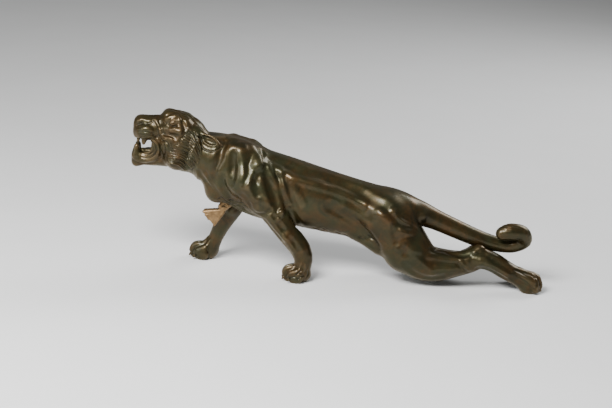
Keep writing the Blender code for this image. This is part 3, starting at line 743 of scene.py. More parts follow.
# the lips, the folds of the snarl and the marks of the face
FACE_LINES = [
    (1.0, -0.5, 0.5, [(-124.9, 67), (-122.4, 65.1), (-119, 64.3), (-115.4, 64.5), (-111.8, 66), (-109, 69),
     (-107.6, 72.6), (-108.4, 76.2), (-111.2, 78.8), (-114.6, 79.8), (-118.4, 79.4)]),
    (0.8, 0.7, 0.6, [(-123.6, 63.4), (-119, 62.4), (-114.8, 62.8), (-110.4, 64.6), (-107, 68.4),
     (-105.4, 73), (-106.4, 77.6), (-109, 80.4)]),
    (0.8, 0.6, 0.5, [(-112.6, 88.6), (-110.8, 86.6), (-109.9, 84), (-109.6, 81.4), (-110.8, 79.6)]),
    (1.2, -1.0, 0.7, [(-112.6, 90), (-110.4, 87.4), (-108.9, 84.6), (-108, 81.8), (-105.6, 80.6),
     (-103.4, 80.9), (-101.8, 80.4)]),
    (0.8, 0.7, 0.6, [(-109.8, 88.6), (-107.7, 85.6), (-106.6, 83), (-104.2, 82.2), (-101.6, 82.4),
     (-98.8, 81)]),
    (0.7, -0.5, 0.4, [(-106.4, 79.2), (-104.6, 79.6), (-102.6, 78.4), (-101.6, 76)]),
    (0.5, 0.5, 0.4, [(-107.2, 78.2), (-105, 78.6), (-103.4, 77.4), (-102.6, 75)]),
    (0.6, -0.4, 0.4, [(-107.2, 77), (-105.4, 77), (-104.2, 75.4)]),
    (0.9, 1.0, 0.4, [(-122.8, 85.6), (-121.4, 86.6), (-119.6, 87.2)]),
    (0.5, 0.5, 0.4, [(-120.4, 86.6), (-118.2, 87.0), (-115.6, 87.6), (-113.6, 88.8)]),
    (1.2, -0.7, 0.6, [(-122.4, 88.2), (-120.2, 89.2), (-117.6, 88.9), (-115.4, 88.9)]),
    (0.4, 0.4, 0.3, [(-122.8, 84.4), (-120, 84.9), (-117.4, 86.2)]),
    (1.6, -0.6, 0.7, [(-119.4, 84.6), (-116.4, 85), (-114, 84.2)]),
    (0.45, 0.45, 0.35, [(-122, 83), (-118.4, 83), (-115, 82.8), (-112.6, 82.2)]),
    (0.45, 0.4, 0.35, [(-121.6, 81.4), (-118.2, 81.2), (-114.8, 81.2), (-112.2, 81)]),
    (0.4, 0.35, 0.3, [(-120.6, 79.9), (-117.6, 79.9), (-114.4, 80.4)]),
    (1.1, -0.8, 0.6, [(-105.4, 91), (-103.4, 92.6), (-100.6, 93.4), (-98.4, 92.8), (-97, 90.6)]),
    (0.7, 0.6, 0.5, [(-105.2, 93), (-102.4, 94.3), (-98.8, 94.4), (-96, 92.4)]),
    (0.6, -0.4, 0.4, [(-107.8, 90.4), (-106, 88.4), (-104.8, 87.6)]),
    (1.2, 0.7, 0.9, [(-104.4, 83.8), (-101.6, 83.2), (-98.6, 82.6)]),
    (1.6, -0.8, 0.8, [(-102.2, 85.6), (-99.8, 85.9), (-97.2, 85)]),
    (2.4, -0.5, 1.4, [(-93, 90.4), (-90.6, 86.6), (-89.6, 82)]),
    (1.0, 0.6, 0.8, [(-95.2, 90.4), (-94.4, 86.4), (-94.6, 82.4)]),
]
EYELIDS = [(0.7, -0.45, 0.7, [(-104.6, 88.0), (-103, 89.5), (-101, 90.1), (-99.4, 89.6), (-98.2, 88.6)]),
           (0.6, -0.25, 0.6, [(-104.6, 87.8), (-102.8, 87.3), (-100.6, 87.1), (-99, 87.6)])]


def eyes(clay):
    """Narrowed eyes: a shallow socket, a flat almond of an eyeball and two soft lids."""
    for side in SIDES:
        at, normal = spot(clay, side, -101.4, 88.9)
        if at is None:
            continue
        clay.cut([ball(at + normal * 0.8, (3.2, 1.6, 1.7), (0, 6, 8 * side))], 1.0)
        clay.blob(at - normal * 1.0, (2.3, 1.5, 1.4), 0.3, (0, 6, 0))
        draw(clay, side, EYELIDS)


# the ruff runs between two lines on the flank; its strands and grooves have a radius, depth and blend
RUFF = [(-89, 6.5, 86.6, 2.3), (-88.0, 8.9, 82.8, 3.1), (-87.2, 10.1, 78, 3.4), (-87.2, 10.4, 72.8, 3.4),
        (-89.4, 9.4, 67.2, 3.4), (-93, 6.8, 63.2, 3.2), (-97, 4.4, 63, 2.8)]
RUFF_FRONT = [(-92.2, 87.6), (-94.2, 83.8), (-96.6, 80), (-99.4, 76.6), (-101.8, 73), (-103, 69.6),
              (-102.4, 66.6), (-100, 64.2)]
RUFF_BACK = [(-86.6, 83), (-84.8, 79.2), (-84.0, 75.4), (-84.2, 71), (-86, 66.8), (-88.6, 63.9),
             (-91.4, 62.2), (-94.4, 61.4)]
STRANDS = 24
STRAND = (0.95, -0.5, 0.4)
GROOVE = (0.34, 0.55, 0.3)


def ruff(clay):
    """The collar of fur behind the cheeks: a raised mass, then strands that sweep down and back."""
    dice = np.random.default_rng(3)
    for s in SIDES:
        clay.add(tube(RUFF, step=2.0, side=s), 0.7)
    fronts, backs = curve(RUFF_FRONT, 0.25), curve(RUFF_BACK, 0.25)
    for side in SIDES:
        for groove in (False, True):
            for k in range(STRANDS):
                t = 0.92 * (k + (0.95 if groove else 0.45) + 0.15 * dice.random()) / STRANDS
                front = fronts[min(int(t * len(fronts)), len(fronts) - 1)]
                back = backs[min(int((0.24 + 0.8 * t) * len(backs)), len(backs) - 1)]
                a = front + (back - front) * 0.12 * dice.random()
                b = front + (back - front) * (0.93 + 0.09 * dice.random())
                bend = (b - a)[::-1] * np.array((-0.16, 0.16))
                middle = (a + b) / 2 + bend * (0.7 + 0.5 * dice.random())
                flank(clay, side, [a, middle, b], *(GROOVE if groove else STRAND))


EAR_LINES = [(0.5, 0.35, 0.5, [(-84.2, 83.4), (-81.2, 82.4), (-78.2, 81.9)]),
             (0.6, 0.5, 0.5, [(-84.6, 79.2), (-82.6, 76.2), (-79.2, 75), (-75.4, 75.6), (-72.2, 77.4)])]


def ears(clay):
    """Ears laid back flat on the neck: a leaf with a rim round a shallow bowl. The right one is lower."""
    for side, size, height, root in ((LEFT, 1.0, 79.8, 85.2), (RIGHT, 0.85, 76.4, 83.6)):
        at, normal = spot(clay, side, -79.6, height)
        if at is None:
            continue
        turn = (0, 20, 14 * side)
        base, tip = at + np.array((3.6, 0.5 * side, -1.2)), at + np.array((7.2, 0.9 * side, -2.2))
        clay.add([ball(at + normal * 0.2, (6.9 * size, 2.2 * size, 4.0 * size), turn),
                  limb(base, tip, 1.9, 0.9)], 0.6)
        clay.rod((-86.5, 6.8 * side, root), at + np.array((-1.5, 0, 2.0)), 2.4, 1.5, 1.2)
        clay.cut([ball(at + normal * 2.6 + np.array((0.2, 0, -0.5)), (4.8, 1.7, 2.3), turn)], 0.8)
        if side == LEFT:
            draw(clay, side, EAR_LINES)


def head_fur(clay):
    """Fine lines over the forehead, the back of the skull and the bridge of the nose."""
    dice = np.random.default_rng(17)
    for side in SIDES:
        for k in range(20):
            x = -101 + 13 * dice.random()
            y = side * (1.0 + 5.5 * dice.random())
            crown(clay, [(x, y), (x + 2, y + 0.35 * side), (x + 3.6, y + 0.9 * side)], 0.45, 0.14, 0.5)
        for k in range(9):
            x = -89.5 + 5.5 * dice.random()
            z = 86.2 - 0.55 * (x + 89.5) - 2.2 * dice.random()
            flank(clay, side, [(x, z), (x + 1.4, z - 1.5), (x + 2.2, z - 3.2)], 0.45, 0.3, 0.4)
        for k in range(5):
            x = -117 + 1.5 * k
            crown(clay, [(x, 1.2 * side), (x + 0.9, 2.6 * side), (x + 1.2, 4.2 * side)], 0.45, 0.15, 0.5)
    crown(clay, [(-106, 0), (-103, 0), (-99, 0)], 1.0, 0.7, 0.9)
    crown(clay, [(-121.4, 0), (-118.5, 0), (-114, 0)], 0.7, 0.35, 0.6)
    for y, depth in ((-0.44, 0.0001), (0.0, 0.35), (0.44, 0.0001)):   # the furrow of the nose and its rims
        starts = [(-140, y, 85.0 - t) for t in np.arange(0, 7, 0.4)]
        emboss(clay, clay.hits(starts, (1, 0, 0), 30), 0.35, depth, 0.3)


def head_details(clay):
    mouth(clay)
    for side in SIDES:
        draw(clay, side, FACE_LINES, depth=0.7, groove=1.4, ridge=1.4)
    eyes(clay)
    ruff(clay)
    ears(clay)
    head_fur(clay)


# ---- the whole figure

SEAT_PLAY = 0.05               # room round a bush, mm
COVER_INSET = 1.15             # how far inside a pin's ends its cover is centred, mm
BUSHES = ["paw_bush_front_left", "paw_bush_front_right", "paw_bush_hind_left", "paw_bush_hind_right"]


def cover_pins(clay):
    """A little metal over the ends of the pins that hold the castings together."""
    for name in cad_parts:
        if name.endswith("_pin"):
            low, high = clay_box(name)
            x, z = (low.x + high.x) / 2, (low.z + high.z) / 2
            clay.rod((x, low.y + COVER_INSET, z), (x, high.y - COVER_INSET, z), 1.6, 1.6, 4.0)


def seats(clay):
    """Flat soles, with a round seat in each for its bush."""
    clay.cut([ground()], 0)
    for node in BUSHES:
        low, high = clay_box(node)
        middle = (low + high) / 2
        clay.cut([well(middle.x, middle.y, (high.x - low.x) / 2 + SEAT_PLAY, high.z + 2 * SEAT_PLAY)], 0)
    low, high = clay_box("belly_plug")
    clay.cut([well((low.x + high.x) / 2, 0, (high.x - low.x) / 2, high.z)], 0)


PAW_TOP = 5                    # a block that reaches below this height has paws in it, mm
FACE_BACK, FACE_BOTTOM = -90, 60   # a block that reaches ahead of and above these has the face in it


def figure(low, high, voxel, legs=True, tail=True):
    """A block of clay that holds the part of the figure inside a box."""
    clay = Clay(low, high, voxel)
    body_mass(clay)
    shoulders(clay)
    head_mass(clay)
    for path in (FORELEG_LEFT, FORELEG_RIGHT):
        clay.add(tube(path), 2)
    if legs:
        for side in SIDES:
            hind_leg(clay, side)
    if tail:
        clay.add(tube(TAIL, step=1.6), 0.8)
    cover_pins(clay)
    torso_lines(clay)
    elbow_lines(clay)
    if low[2] < PAW_TOP:
        paw(clay, PAW_X_LEFT, -16.0, -4)
        paw(clay, PAW_X_RIGHT, 16.0, 3)
        foreleg_lines(clay)
    if legs:
        rear_lines(clay)
    if tail:
        tail_fur(clay)
    chest_folds(clay)
    belly_fur(clay)
    if low[0] < FACE_BACK and high[2] > FACE_BOTTOM:
        head_details(clay)
    seats(clay)
    return clay


# ---- clay to mesh

def surface_nets(level):
    """Vertices, in grid steps, and quads of the zero level."""
    size = level.shape
    inside = level < 0
    corners = np.array([(i, j, k) for i in (0, 1) for j in (0, 1) for k in (0, 1)])
    total = np.zeros([n - 1 for n in size], np.int8)
    for corner in corners:
        total += inside[tuple(slice(c, n - 1 + c) for c, n in zip(corner, size))]
    active = (total > 0) & (total < 8)
    cells = np.argwhere(active)
    number = np.full(active.shape, -1, np.int32)
    number[active] = np.arange(len(cells), dtype=np.int32)
    values = np.stack([level[tuple((cells + c).T)] for c in corners], 1)
    place = np.zeros((len(cells), 3), F)
    count = np.zeros(len(cells), F)
    for a in range(8):
        for b in range(a + 1, 8):
            if np.abs(corners[a] - corners[b]).sum() != 1:
                continue
            va, vb = values[:, a], values[:, b]
            crossing = (va < 0) != (vb < 0)
            t = np.where(crossing, va / np.where(crossing, va - vb, 1), 0)
            point = corners[a] + t[:, None] * (corners[b] - corners[a])
            place += np.where(crossing[:, None], point, 0)
            count += crossing
    quads = []
    for axis in range(3):
        across = [(axis + 1) % 3, (axis + 2) % 3]
        here = [slice(1, size[k] - 1) for k in range(3)]
        there = list(here)
        here[axis] = slice(0, size[axis] - 1)
        there[axis] = slice(1, size[axis])
        first = inside[tuple(here)]
        change = np.argwhere(first != inside[tuple(there)])
        if not len(change):
            continue
        flip = ~first[tuple(change.T)]
        ring = []
        for step in ((0, 0), (1, 0), (1, 1), (0, 1)):
            cell = change.copy()
            cell[:, across] += step
            ring.append(number[tuple(cell.T)])
        ring = np.stack(ring, 1)
        ring[flip] = ring[flip][:, ::-1]
        quads.append(ring)
    quads = np.concatenate(quads)
    used, quads = np.unique(quads, return_inverse=True)
    grid = (cells + place / count[:, None]).astype(F)
    return grid[used], quads.reshape(-1, 4)


def relax(level, grid, quads, voxel, rounds=2):
    """Evens the mesh out, drawing it back on the zero level each time."""
    ends = np.concatenate([quads[:, [k, (k + 1) % 4]] for k in range(4)])
    a, b = np.concatenate([ends, ends[:, ::-1]]).T
    share = np.bincount(a, minlength=len(grid))[:, None]
    for _ in range(rounds):
        pull = np.stack([np.bincount(a, weights=grid[b, k], minlength=len(grid)) for k in range(3)], 1)
        grid = (pull / share).astype(F)
        off = np.clip(sample(level, grid) / voxel, -0.6, 0.6)
        grid = grid - gradient(level, grid) * off[:, None]
    return grid


def relief(level, grid, voxel, reach):
    """How far each point stands proud of its surroundings: ridges above 0, hollows below."""
    total = np.zeros(len(grid), F)
    step = reach / voxel
    directions = [(x, y, z) for x in (-1, 0, 1) for y in (-1, 0, 1) for z in (-1, 0, 1)
                  if abs(x) + abs(y) + abs(z) in (1, 3)]
    for d in directions:
        offset = np.array(d, float) / np.linalg.norm(d) * step
        total += np.clip(sample(level, grid + offset.astype(F)), -2 * reach, 2 * reach)
    return total / len(directions) / reach


def to_piece(name, clay, uncut=None):
    """The clay as a smooth mesh. Its shading follows the uncut surface, so that joints don't show."""
    uncut = clay.level if uncut is None else uncut
    grid, quads = surface_nets(clay.level)
    grid = relax(clay.level, grid, quads, clay.voxel)
    mesh = bpy.data.meshes.new(name)
    points = np.array(ORIGIN) + (clay.low + grid * clay.voxel) * MM
    mesh.from_pydata(points, [], quads)
    for label, reach in (("relief_fine", 0.8), ("relief_broad", 2.4)):
        values = mesh.attributes.new(label, "FLOAT", "POINT")
        values.data.foreach_set("value", relief(uncut, grid, clay.voxel, reach))
    mesh.polygons.foreach_set("use_smooth", np.ones(len(mesh.polygons), bool))
    outer = np.abs(sample(uncut, grid)) < 0.7 * clay.voxel
    normals = np.where(outer[:, None], gradient(uncut, grid), gradient(clay.level, grid))
    mesh.normals_split_custom_set_from_vertices(normals)
    return new_piece(name, mesh)


def new_piece(name, mesh):
    piece = bpy.data.objects.new(name, mesh)
    bpy.context.scene.collection.objects.link(piece)
    return piece


# ---- casting joints

# Each seam is a plane square to the flank through two (x, z) points. Seen from the left flank, with
# +X on the right, the casting cut off lies on the left hand of the way from the first to the second.
NECK_SEAM = ((-82, 44), (-70, 84))
JAW_SEAM_TOP = ((-109, 66.4), (-127, 77.6))
JAW_SEAM_BACK = ((-100.4, 57), (-110.4, 77))
ELBOW_SEAM_LEFT = ((-22.4, 30.6), (-35.2, 20.8))
ELBOW_SEAM_RIGHT = ((-58.4, 26.6), (-74.6, 34.4))
THIGH_SEAM = ((48, 36.8), (31.4, 9))
TAIL_SEAM = ((54.6, 49), (49.6, 34))
OVERLAP = 0.5                  # how far castings reach into each other at a seam, mm
JAW_OVERLAP = 0.2


def beyond(seam):
    """The signed distance to a seam, below 0 on the side that is cut off."""
    (x0, z0), (x1, z1) = seam
    nx, nz = z1 - z0, x0 - x1
    size = math.hypot(nx, nz)
    return lambda x, y, z: (x - F(x0)) * F(nx / size) + (z - F(z0)) * F(nz / size) + 0 * y


def inside_all(*distances):
    """The space inside every one of the distances."""
    return lambda x, y, z: functools.reduce(np.maximum, [d(x, y, z) for d in distances])


def without(distance):
    return lambda x, y, z: -distance(x, y, z)


def near(path, extra):
    """The space within extra of a limb's tube."""
    rods = tube([(x, y, z, r + extra) for x, y, z, r in path])
    return lambda x, y, z: functools.reduce(np.minimum, [rod[2](x, y, z) for rod in rods])


def side_of(side, at=0.0):
    """The space on one side of an upright plane along the figure."""
    return lambda x, y, z: F(at) - side * y + 0 * x + 0 * z


PAW_LEFT = [(-20.5, -16, 7, 5.2), (-24, -16, 3, 9)]
PAW_RIGHT = [(-76.5, 15.5, 7.5, 4.8), (-82, 16, 3, 9)]
REGIONS = {
    "head": ((-131, -22, 42), (-66, 22, 101), beyond(NECK_SEAM)),
    "lower_jaw": ((-131, -14, 54), (-98, 14, 79), inside_all(beyond(JAW_SEAM_TOP), beyond(JAW_SEAM_BACK))),
    "foreleg_left": ((-54, -27, -2), (-8, -8, 46),
                     inside_all(beyond(ELBOW_SEAM_LEFT), side_of(LEFT, -8),
                                near(FORELEG_LEFT + PAW_LEFT, 3.0))),
    "foreleg_right": ((-96, 5, -2), (-48, 27, 48),
                      inside_all(beyond(ELBOW_SEAM_RIGHT), side_of(RIGHT, 5),
                                 near(FORELEG_RIGHT + PAW_RIGHT, 3.0))),
    "hindlegs": ((24, -25, -2), (131, 25, 52),
                 inside_all(beyond(THIGH_SEAM), without(near(TAIL[:5], 0.5)))),
    "tail": ((44, -16, 18), (131, 12, 62), beyond(TAIL_SEAM)),
}


def cast(name, clay, region, overlap=OVERLAP):
    """One casting: the clay inside a region, as a piece."""
    uncut = clay.level
    clay.keep(region, overlap)
    return to_piece(name, clay, uncut)


def build_head():
    low, high, head = REGIONS["head"]
    jaw = REGIONS["lower_jaw"]
    clay = figure((-129, -21, 40), (-64, 21, 100), VOXEL_HEAD)
    whole = clay.level
    upper = cast("head_casting", clay, (low, high, inside_all(head, without(jaw[2]))))
    clay.level = whole
    return upper, cast("lower_jaw_casting", clay, jaw, JAW_OVERLAP)


def build_tongue():
    """A broad tongue with raised edges, a furrow and a curled tip."""
    clay = Clay((-125, -7, 62), (-98, 7, 76), VOXEL_TONGUE)
    body = [(-103, 0, 70.0, 2.6), (-108, 0, 69.2, 2.9), (-113, 0, 68.6, 2.8), (-117.0, 0, 68.8, 2.3),
            (-119.4, 0, 69.6, 1.6)]
    edge = [(-106, 2.4, 70.8, 1.0), (-112, 2.7, 70.2, 1.05), (-117.2, 2.0, 70.2, 0.9)]
    clay.add(tube(body, flat=1.35, step=1.0), 0.5)
    for s in SIDES:
        clay.add(tube(edge, step=1.0, side=s), 0.8)
    clay.cut(tube([(-105, 0, 72.3, 0.7), (-111, 0, 71.8, 0.8), (-119, 0, 71.4, 0.6)], step=1.0), 0.8)
    return to_piece("tongue_casting", clay)


def build_forelegs():
    left = figure((-54, -26, -1.5), (-8, -4, 44), VOXEL_PAW, legs=False, tail=False)
    right = figure((-96, 3, -1.5), (-48, 26, 48), VOXEL_PAW, legs=False, tail=False)
    return (cast("foreleg_left_casting", left, REGIONS["foreleg_left"]),
            cast("foreleg_right_casting", right, REGIONS["foreleg_right"]))


def build_hindlegs():
    low, high, region = REGIONS["hindlegs"]
    clay = figure((22, -24, -1.5), (130, 24, 58), VOXEL_REAR, tail=False)
    whole = clay.level
    made = []
    for name, side in (("hindleg_left_casting", LEFT), ("hindleg_right_casting", RIGHT)):
        clay.level = whole
        made.append(cast(name, clay, (low, high, inside_all(region, side_of(side)))))
    return made


def build_tail():
    clay = figure((40, -16, 16), (130, 12, 62), VOXEL_REAR, legs=False)
    return cast("tail_casting", clay, REGIONS["tail"])


def build_torso():
    clay = figure((-90, -25, 4), (64, 25, 90), VOXEL_BODY)
    uncut = clay.level.copy()
    for name in ("head", "foreleg_left", "foreleg_right", "hindlegs", "tail"):
        clay.cut([REGIONS[name]], 0)
    return to_piece("torso_casting", clay, uncut)


def build_lug():
    """A fan of bare metal on a rough stem under the chest."""
    clay = Clay((-87, -6, 21), (-56, 6, 52), VOXEL_LUG)
    clay.rod((-61.5, 0, 46.5), (-70.4, 0, 36.6), 3.4, 2.3, 0.5)
    clay.rod((-66.5, 0.6, 43.4), (-71.2, -0.4, 38.2), 2.3, 1.8, 0.5)
    dice = np.random.default_rng(31)
    rays = 9
    top, bottom = np.array((-81.4, 34.4)), np.array((-74.6, 26.6))
    for layer in (-1.25, 0.0, 1.25):
        for k in range(rays):
            t = k / (rays - 1)
            outward = np.array((-0.75, -0.66)) * (0.9 * dice.random() - 0.3 - 2.2 * abs(t - 0.5) ** 2)
            end = top + (bottom - top) * t + outward
            clay.rod((-69.8, layer * 0.6, 36.0 - 1.2 * t), (end[0], layer, end[1]), 1.25, 0.82, 0.22)
    for k in range(16):
        a = dice.random()
        x, z = -64.5 - 6.5 * a, 43.6 - 7 * a
        scratch = [(x - 1.2, z + 1.2 * dice.random()), (x + 1.4, z - 1.0 * dice.random())]
        flank(clay, LEFT, scratch, 0.35, 0.35, 0.3)
    return to_piece("chest_lug_casting", clay)


def build_plug():
    """The round plug that closes the core hole in the belly, with a screwdriver's slot in it."""
    low, high = clay_box("belly_plug")
    x, radius = (low.x + high.x) / 2, (high.x - low.x) / 2 - 0.25
    clay = Clay((low.x - 1, low.y - 1, low.z - 2), (high.x + 1, high.y + 1, high.z + 1), VOXEL_PLUG)
    body_mass(clay)
    belly_fur(clay)

    def slot(px, py, pz):
        return np.maximum(np.maximum(abs(px - F(x)) - F(0.35), abs(py) - F(2.0)), pz - F(low.z + 0.8))

    def disc(px, py, pz):
        return np.maximum(np.sqrt((px - F(x)) ** 2 + py ** 2) - F(radius), pz - F(high.z))

    clay.cut([((x - 0.25, -2.2, low.z - 2), (x + 0.25, 2.2, low.z + 0.7), slot)], 0.1)
    clay.keep(((low.x, low.y, low.z - 1), (high.x, high.y, high.z), disc), 0)
    return to_piece("belly_plug_casting", clay)


# ---- materials

class Nodes:
    """A short way to write a material's nodes."""

    def __init__(self, name):
        self.material = bpy.data.materials.new(name)
        self.material.use_nodes = True
        self.tree = self.material.node_tree
        self.shader = self.tree.nodes["Principled BSDF"]
        place = self.node("ShaderNodeTexCoord")
        self.place = self.node("ShaderNodeMapping")
        self.place.inputs["Scale"].default_value = (1 / MM, 1 / MM, 1 / MM)
        self.link(place.outputs["Object"], self.place.inputs["Vector"])

    def node(self, kind, **values):
        made = self.tree.nodes.new(kind)
        for key, value in values.items():
            setattr(made, key, value)
        return made

    def link(self, a, b):
        self.tree.links.new(a, b)

    def put(self, value, socket):
        if isinstance(value, bpy.types.NodeSocket):
            self.link(value, socket)
        else:
            socket.default_value = value

    def finish(self, inputs):
        """Sets the shader's inputs by name, and hands over the material."""
        for name, value in inputs.items():
            self.put(value, self.shader.inputs[name])
        return self.material

    def noise(self, size, detail=4.0, rough=0.55, warp=0.0):
        """Noise whose features are about size millimetres wide."""
        made = self.node("ShaderNodeTexNoise")
        self.link(self.place.outputs["Vector"], made.inputs["Vector"])
        made.inputs["Scale"].default_value = 1.0 / size
        made.inputs["Detail"].default_value = detail
        made.inputs["Roughness"].default_value = rough
        made.inputs["Distortion"].default_value = warp
        return made.outputs["Fac"]

    def spread(self, value, low, high, to_low=0.0, to_high=1.0):
        """Stretches a value from one range to another, and clamps it."""
        made = self.node("ShaderNodeMapRange")
        self.put(value, made.inputs["Value"])
        for key, number in (("From Min", low), ("From Max", high), ("To Min", to_low), ("To Max", to_high)):
            made.inputs[key].default_value = number
        return made.outputs["Result"]

    def math(self, operation, a, b):
        made = self.node("ShaderNodeMath", operation=operation)
        self.put(a, made.inputs[0])
        self.put(b, made.inputs[1])
        return made.outputs[0]

    def times(self, a, b):
        return self.math("MULTIPLY", a, b)

    def mix(self, factor, a, b):
        made = self.node("ShaderNodeMix", data_type="RGBA")
        self.put(factor, made.inputs["Factor"])
        for value, socket in ((a, made.inputs[6]), (b, made.inputs[7])):
            self.put(value if isinstance(value, bpy.types.NodeSocket) else (*value, 1.0), socket)
        return made.outputs[2]

    def attribute(self, name):
        return self.node("ShaderNodeAttribute", attribute_name=name).outputs["Fac"]

    def bump(self, layers):
        """Bumps stacked from (height, depth in millimetres)."""
        last = None
        for height, depth in layers:
            made = self.node("ShaderNodeBump")
            made.inputs["Distance"].default_value = depth * MM
            self.link(height, made.inputs["Height"])
            if last is not None:
                self.link(last, made.inputs["Normal"])
            last = made.outputs["Normal"]
        self.link(last, self.shader.inputs["Normal"])


def patinated_bronze():
    """Olive-brown patina over bronze, rubbed warm on the ridges, dark and green in the hollows."""
    n = Nodes("patinated_bronze_look")
    fine = n.attribute("relief_fine")
    broad = n.attribute("relief_broad")
    clouds = n.noise(17, 3, 0.5, 0.6)
    stains = n.noise(7.5, 4, 0.6, 0.8)
    veil = n.noise(26, 3, 0.55, 1.2)
    grain = n.noise(0.8, 3, 0.6)
    colour = n.mix(n.spread(clouds, 0.38, 0.62), (0.019, 0.0155, 0.006), (0.033, 0.026, 0.009))
    colour = n.mix(n.spread(stains, 0.42, 0.70, 0, 0.7), colour, (0.070, 0.033, 0.009))
    colour = n.mix(n.spread(veil, 0.42, 0.66, 0, 0.65), colour, (0.024, 0.031, 0.013))
    colour = n.mix(n.spread(grain, 0.42, 0.66, 0, 0.22), colour, (0.020, 0.017, 0.009))
    rubbed = n.spread(n.math("ADD", fine, n.times(broad, 0.5)), 0.06, 0.34)
    rubbed = n.times(rubbed, n.spread(stains, 0.3, 0.6, 0.45, 1.0))
    colour = n.mix(n.times(rubbed, 0.55), colour, (0.105, 0.074, 0.036))
    hollow = n.spread(fine, -0.03, -0.30)
    colour = n.mix(n.times(hollow, 0.8), colour, (0.009, 0.008, 0.004))
    deep = n.spread(broad, -0.06, -0.34)
    colour = n.mix(n.times(deep, 0.45), colour, (0.014, 0.014, 0.008))
    rough = n.spread(n.noise(5, 4, 0.6), 0.3, 0.7, 0.29, 0.43)
    rough = n.math("ADD", rough, n.times(hollow, 0.22))
    rough = n.math("SUBTRACT", rough, n.times(rubbed, 0.06))
    n.bump([(n.noise(6, 3, 0.5), 0.10), (n.noise(1.1, 4, 0.6), 0.045), (n.noise(0.3, 2, 0.5), 0.012)])
    warm = (1.0, 0.9, 0.72, 1.0)
    return n.finish({"Base Color": colour, "Roughness": rough, "Metallic": 0.6, "Specular IOR Level": 0.34,
                     "Specular Tint": warm, "Coat Weight": 0.2, "Coat Roughness": 0.2, "Coat Tint": warm})


def raw_bronze():
    """Bare metal, filed by hand and dulled a little in the grooves."""
    n = Nodes("raw_bronze_look")
    fine = n.attribute("relief_fine")
    clouds = n.noise(2.6, 4, 0.6)
    colour = n.mix(n.spread(clouds, 0.35, 0.65), (0.150, 0.090, 0.040), (0.270, 0.170, 0.080))
    colour = n.mix(n.spread(fine, -0.02, -0.3, 0, 0.85), colour, (0.070, 0.050, 0.024))
    rough = n.spread(n.noise(1.2, 4, 0.6), 0.3, 0.7, 0.36, 0.58)
    n.bump([(n.noise(0.9, 4, 0.65), 0.10), (n.noise(0.25, 2, 0.5), 0.02)])
    return n.finish({"Base Color": colour, "Roughness": rough, "Metallic": 0.85})


def turned_metal(name, dark, light):
    """Lathe-turned metal: fine rings, slight tarnish."""
    n = Nodes(name)
    tarnish = n.noise(1.8, 4, 0.6)
    colour = n.mix(n.spread(tarnish, 0.35, 0.68), light, dark)
    rough = n.spread(tarnish, 0.3, 0.7, 0.24, 0.46)
    rings = n.node("ShaderNodeTexWave", wave_type="BANDS", bands_direction="Z")
    n.link(n.place.outputs["Vector"], rings.inputs["Vector"])
    rings.inputs["Scale"].default_value = 2.4
    rings.inputs["Distortion"].default_value = 0.6
    n.bump([(rings.outputs["Fac"], 0.02), (n.noise(0.5, 3, 0.6), 0.01)])
    return n.finish({"Base Color": colour, "Roughness": rough, "Metallic": 0.95})


def floor_look():
    n = Nodes("pale_floor")
    colour = n.mix(n.noise(60, 3, 0.5), (0.72, 0.72, 0.70), (0.76, 0.76, 0.74))
    n.bump([(n.noise(2.0, 3, 0.5), 0.02)])
    return n.finish({"Base Color": colour, "Roughness": 0.9})


# ---- assembly

BRONZE = patinated_bronze()
BARE = raw_bronze()
BRASS = turned_metal("turned_brass_look", (0.36, 0.25, 0.09), (0.62, 0.46, 0.19))
PIN = turned_metal("pin_bronze_look", (0.09, 0.06, 0.03), (0.16, 0.11, 0.055))


def finish_piece(piece):
    """Gives a casting its metal, and sets it in the place of its CAD node."""
    node = piece.name.removesuffix("_casting")
    slot, look = ("raw_bronze", BARE) if node == "chest_lug" else ("patinated_bronze", BRONZE)
    piece.data.materials.clear()
    piece.data.materials.append(look)
    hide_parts(node)
    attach(piece, "root")


def dress_nodes():
    """The CAD nodes that stay: pins inside the castings and bushes in the paws."""
    for name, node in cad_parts.items():
        look = BRASS if "bush" in name else PIN if "pin" in name else BRONZE
        for slot in node.material_slots:
            slot.link = "OBJECT"
            slot.material = look


dress_nodes()
for casting in (*build_head(), build_tongue(), *build_forelegs(), *build_hindlegs(), build_tail(),
                build_torso(), build_lug(), build_plug()):
    finish_piece(casting)

# ---- floor, light and camera

FLOOR_HALF = 2.5


def build_floor():
    corners = [(x * FLOOR_HALF, y * FLOOR_HALF, cad_low.z) for x, y in ((-1, -1), (1, -1), (1, 1), (-1, 1))]
    mesh = bpy.data.meshes.new("floor")
    mesh.from_pydata(corners, [], [(0, 1, 2, 3)])
    mesh.materials.append(floor_look())
    floor = new_piece("floor", mesh)


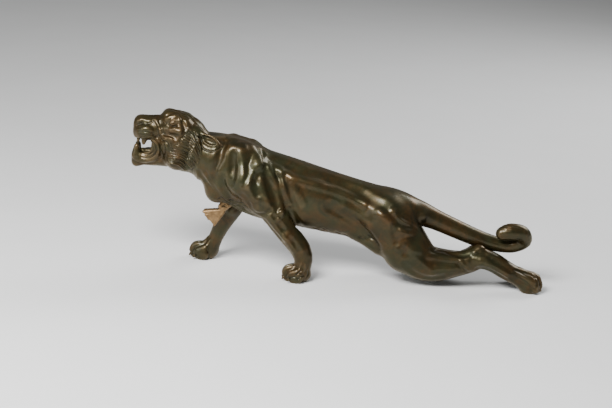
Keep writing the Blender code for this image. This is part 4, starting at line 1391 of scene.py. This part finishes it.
# name, place from the middle of the figure in metres, size in metres, power in watts, colour
LAMPS = [("key", (-0.26, -0.50, 0.50), (0.32, 0.26), 12.0, (0.98, 0.98, 1.0)),
         ("fill", (-0.85, -0.45, 0.35), (0.5, 0.5), 4.0, (0.95, 0.96, 1.0)),
         ("rim", (0.65, 0.55, 0.55), (0.5, 0.4), 7.0, (0.96, 0.97, 1.0))]


def softbox(name, place, size, power, colour):
    lamp = bpy.data.lights.new(name, "AREA")
    lamp.shape = "RECTANGLE"
    lamp.size, lamp.size_y = size
    lamp.energy = power
    lamp.color = colour
    item = bpy.data.objects.new(name, lamp)
    item.location = middle + Vector(place)
    item.rotation_euler = (middle - item.location).to_track_quat("-Z", "Y").to_euler()
    bpy.context.scene.collection.objects.link(item)


def build_lights():
    for lamp in LAMPS:
        softbox(*lamp)
    world = bpy.data.worlds.new("studio")
    bpy.context.scene.world = world
    world.use_nodes = True
    backdrop = world.node_tree.nodes["Background"]
    backdrop.inputs["Color"].default_value = (0.86, 0.87, 0.88, 1)
    backdrop.inputs["Strength"].default_value = 0.27


ELEVATION = math.radians(16.0)
ROLL = math.radians(4.0)
LENS = 85.0
SENSOR = 36.0
FRAME_WIDTH = 367.2 * MM       # width of the view where the figure stands
AIM_AHEAD = 19.85 * MM         # the camera looks at a point this far ahead of the figure's middle
AIM_HEIGHT = 43.3 * MM


def build_camera():
    forward = Vector((0, math.cos(ELEVATION), -math.sin(ELEVATION)))
    level = Vector((1, 0, 0))
    upright = Vector((0, math.sin(ELEVATION), math.cos(ELEVATION)))
    right = math.cos(ROLL) * level + math.sin(ROLL) * upright
    up = -math.sin(ROLL) * level + math.cos(ROLL) * upright
    target = Vector((middle.x - AIM_AHEAD, 0, cad_low.z + AIM_HEIGHT))
    place = target - forward * FRAME_WIDTH * LENS / SENSOR
    data = bpy.data.cameras.new("camera")
    data.lens = LENS
    data.sensor_width = SENSOR
    data.clip_start = 0.01
    camera = bpy.data.objects.new("camera", data)
    basis = Matrix((right, up, -forward)).transposed()
    camera.matrix_world = Matrix.Translation(place) @ basis.to_4x4()
    bpy.context.scene.collection.objects.link(camera)
    bpy.context.scene.camera = camera


middle = (cad_low + cad_high) / 2
build_floor()
build_lights()
build_camera()
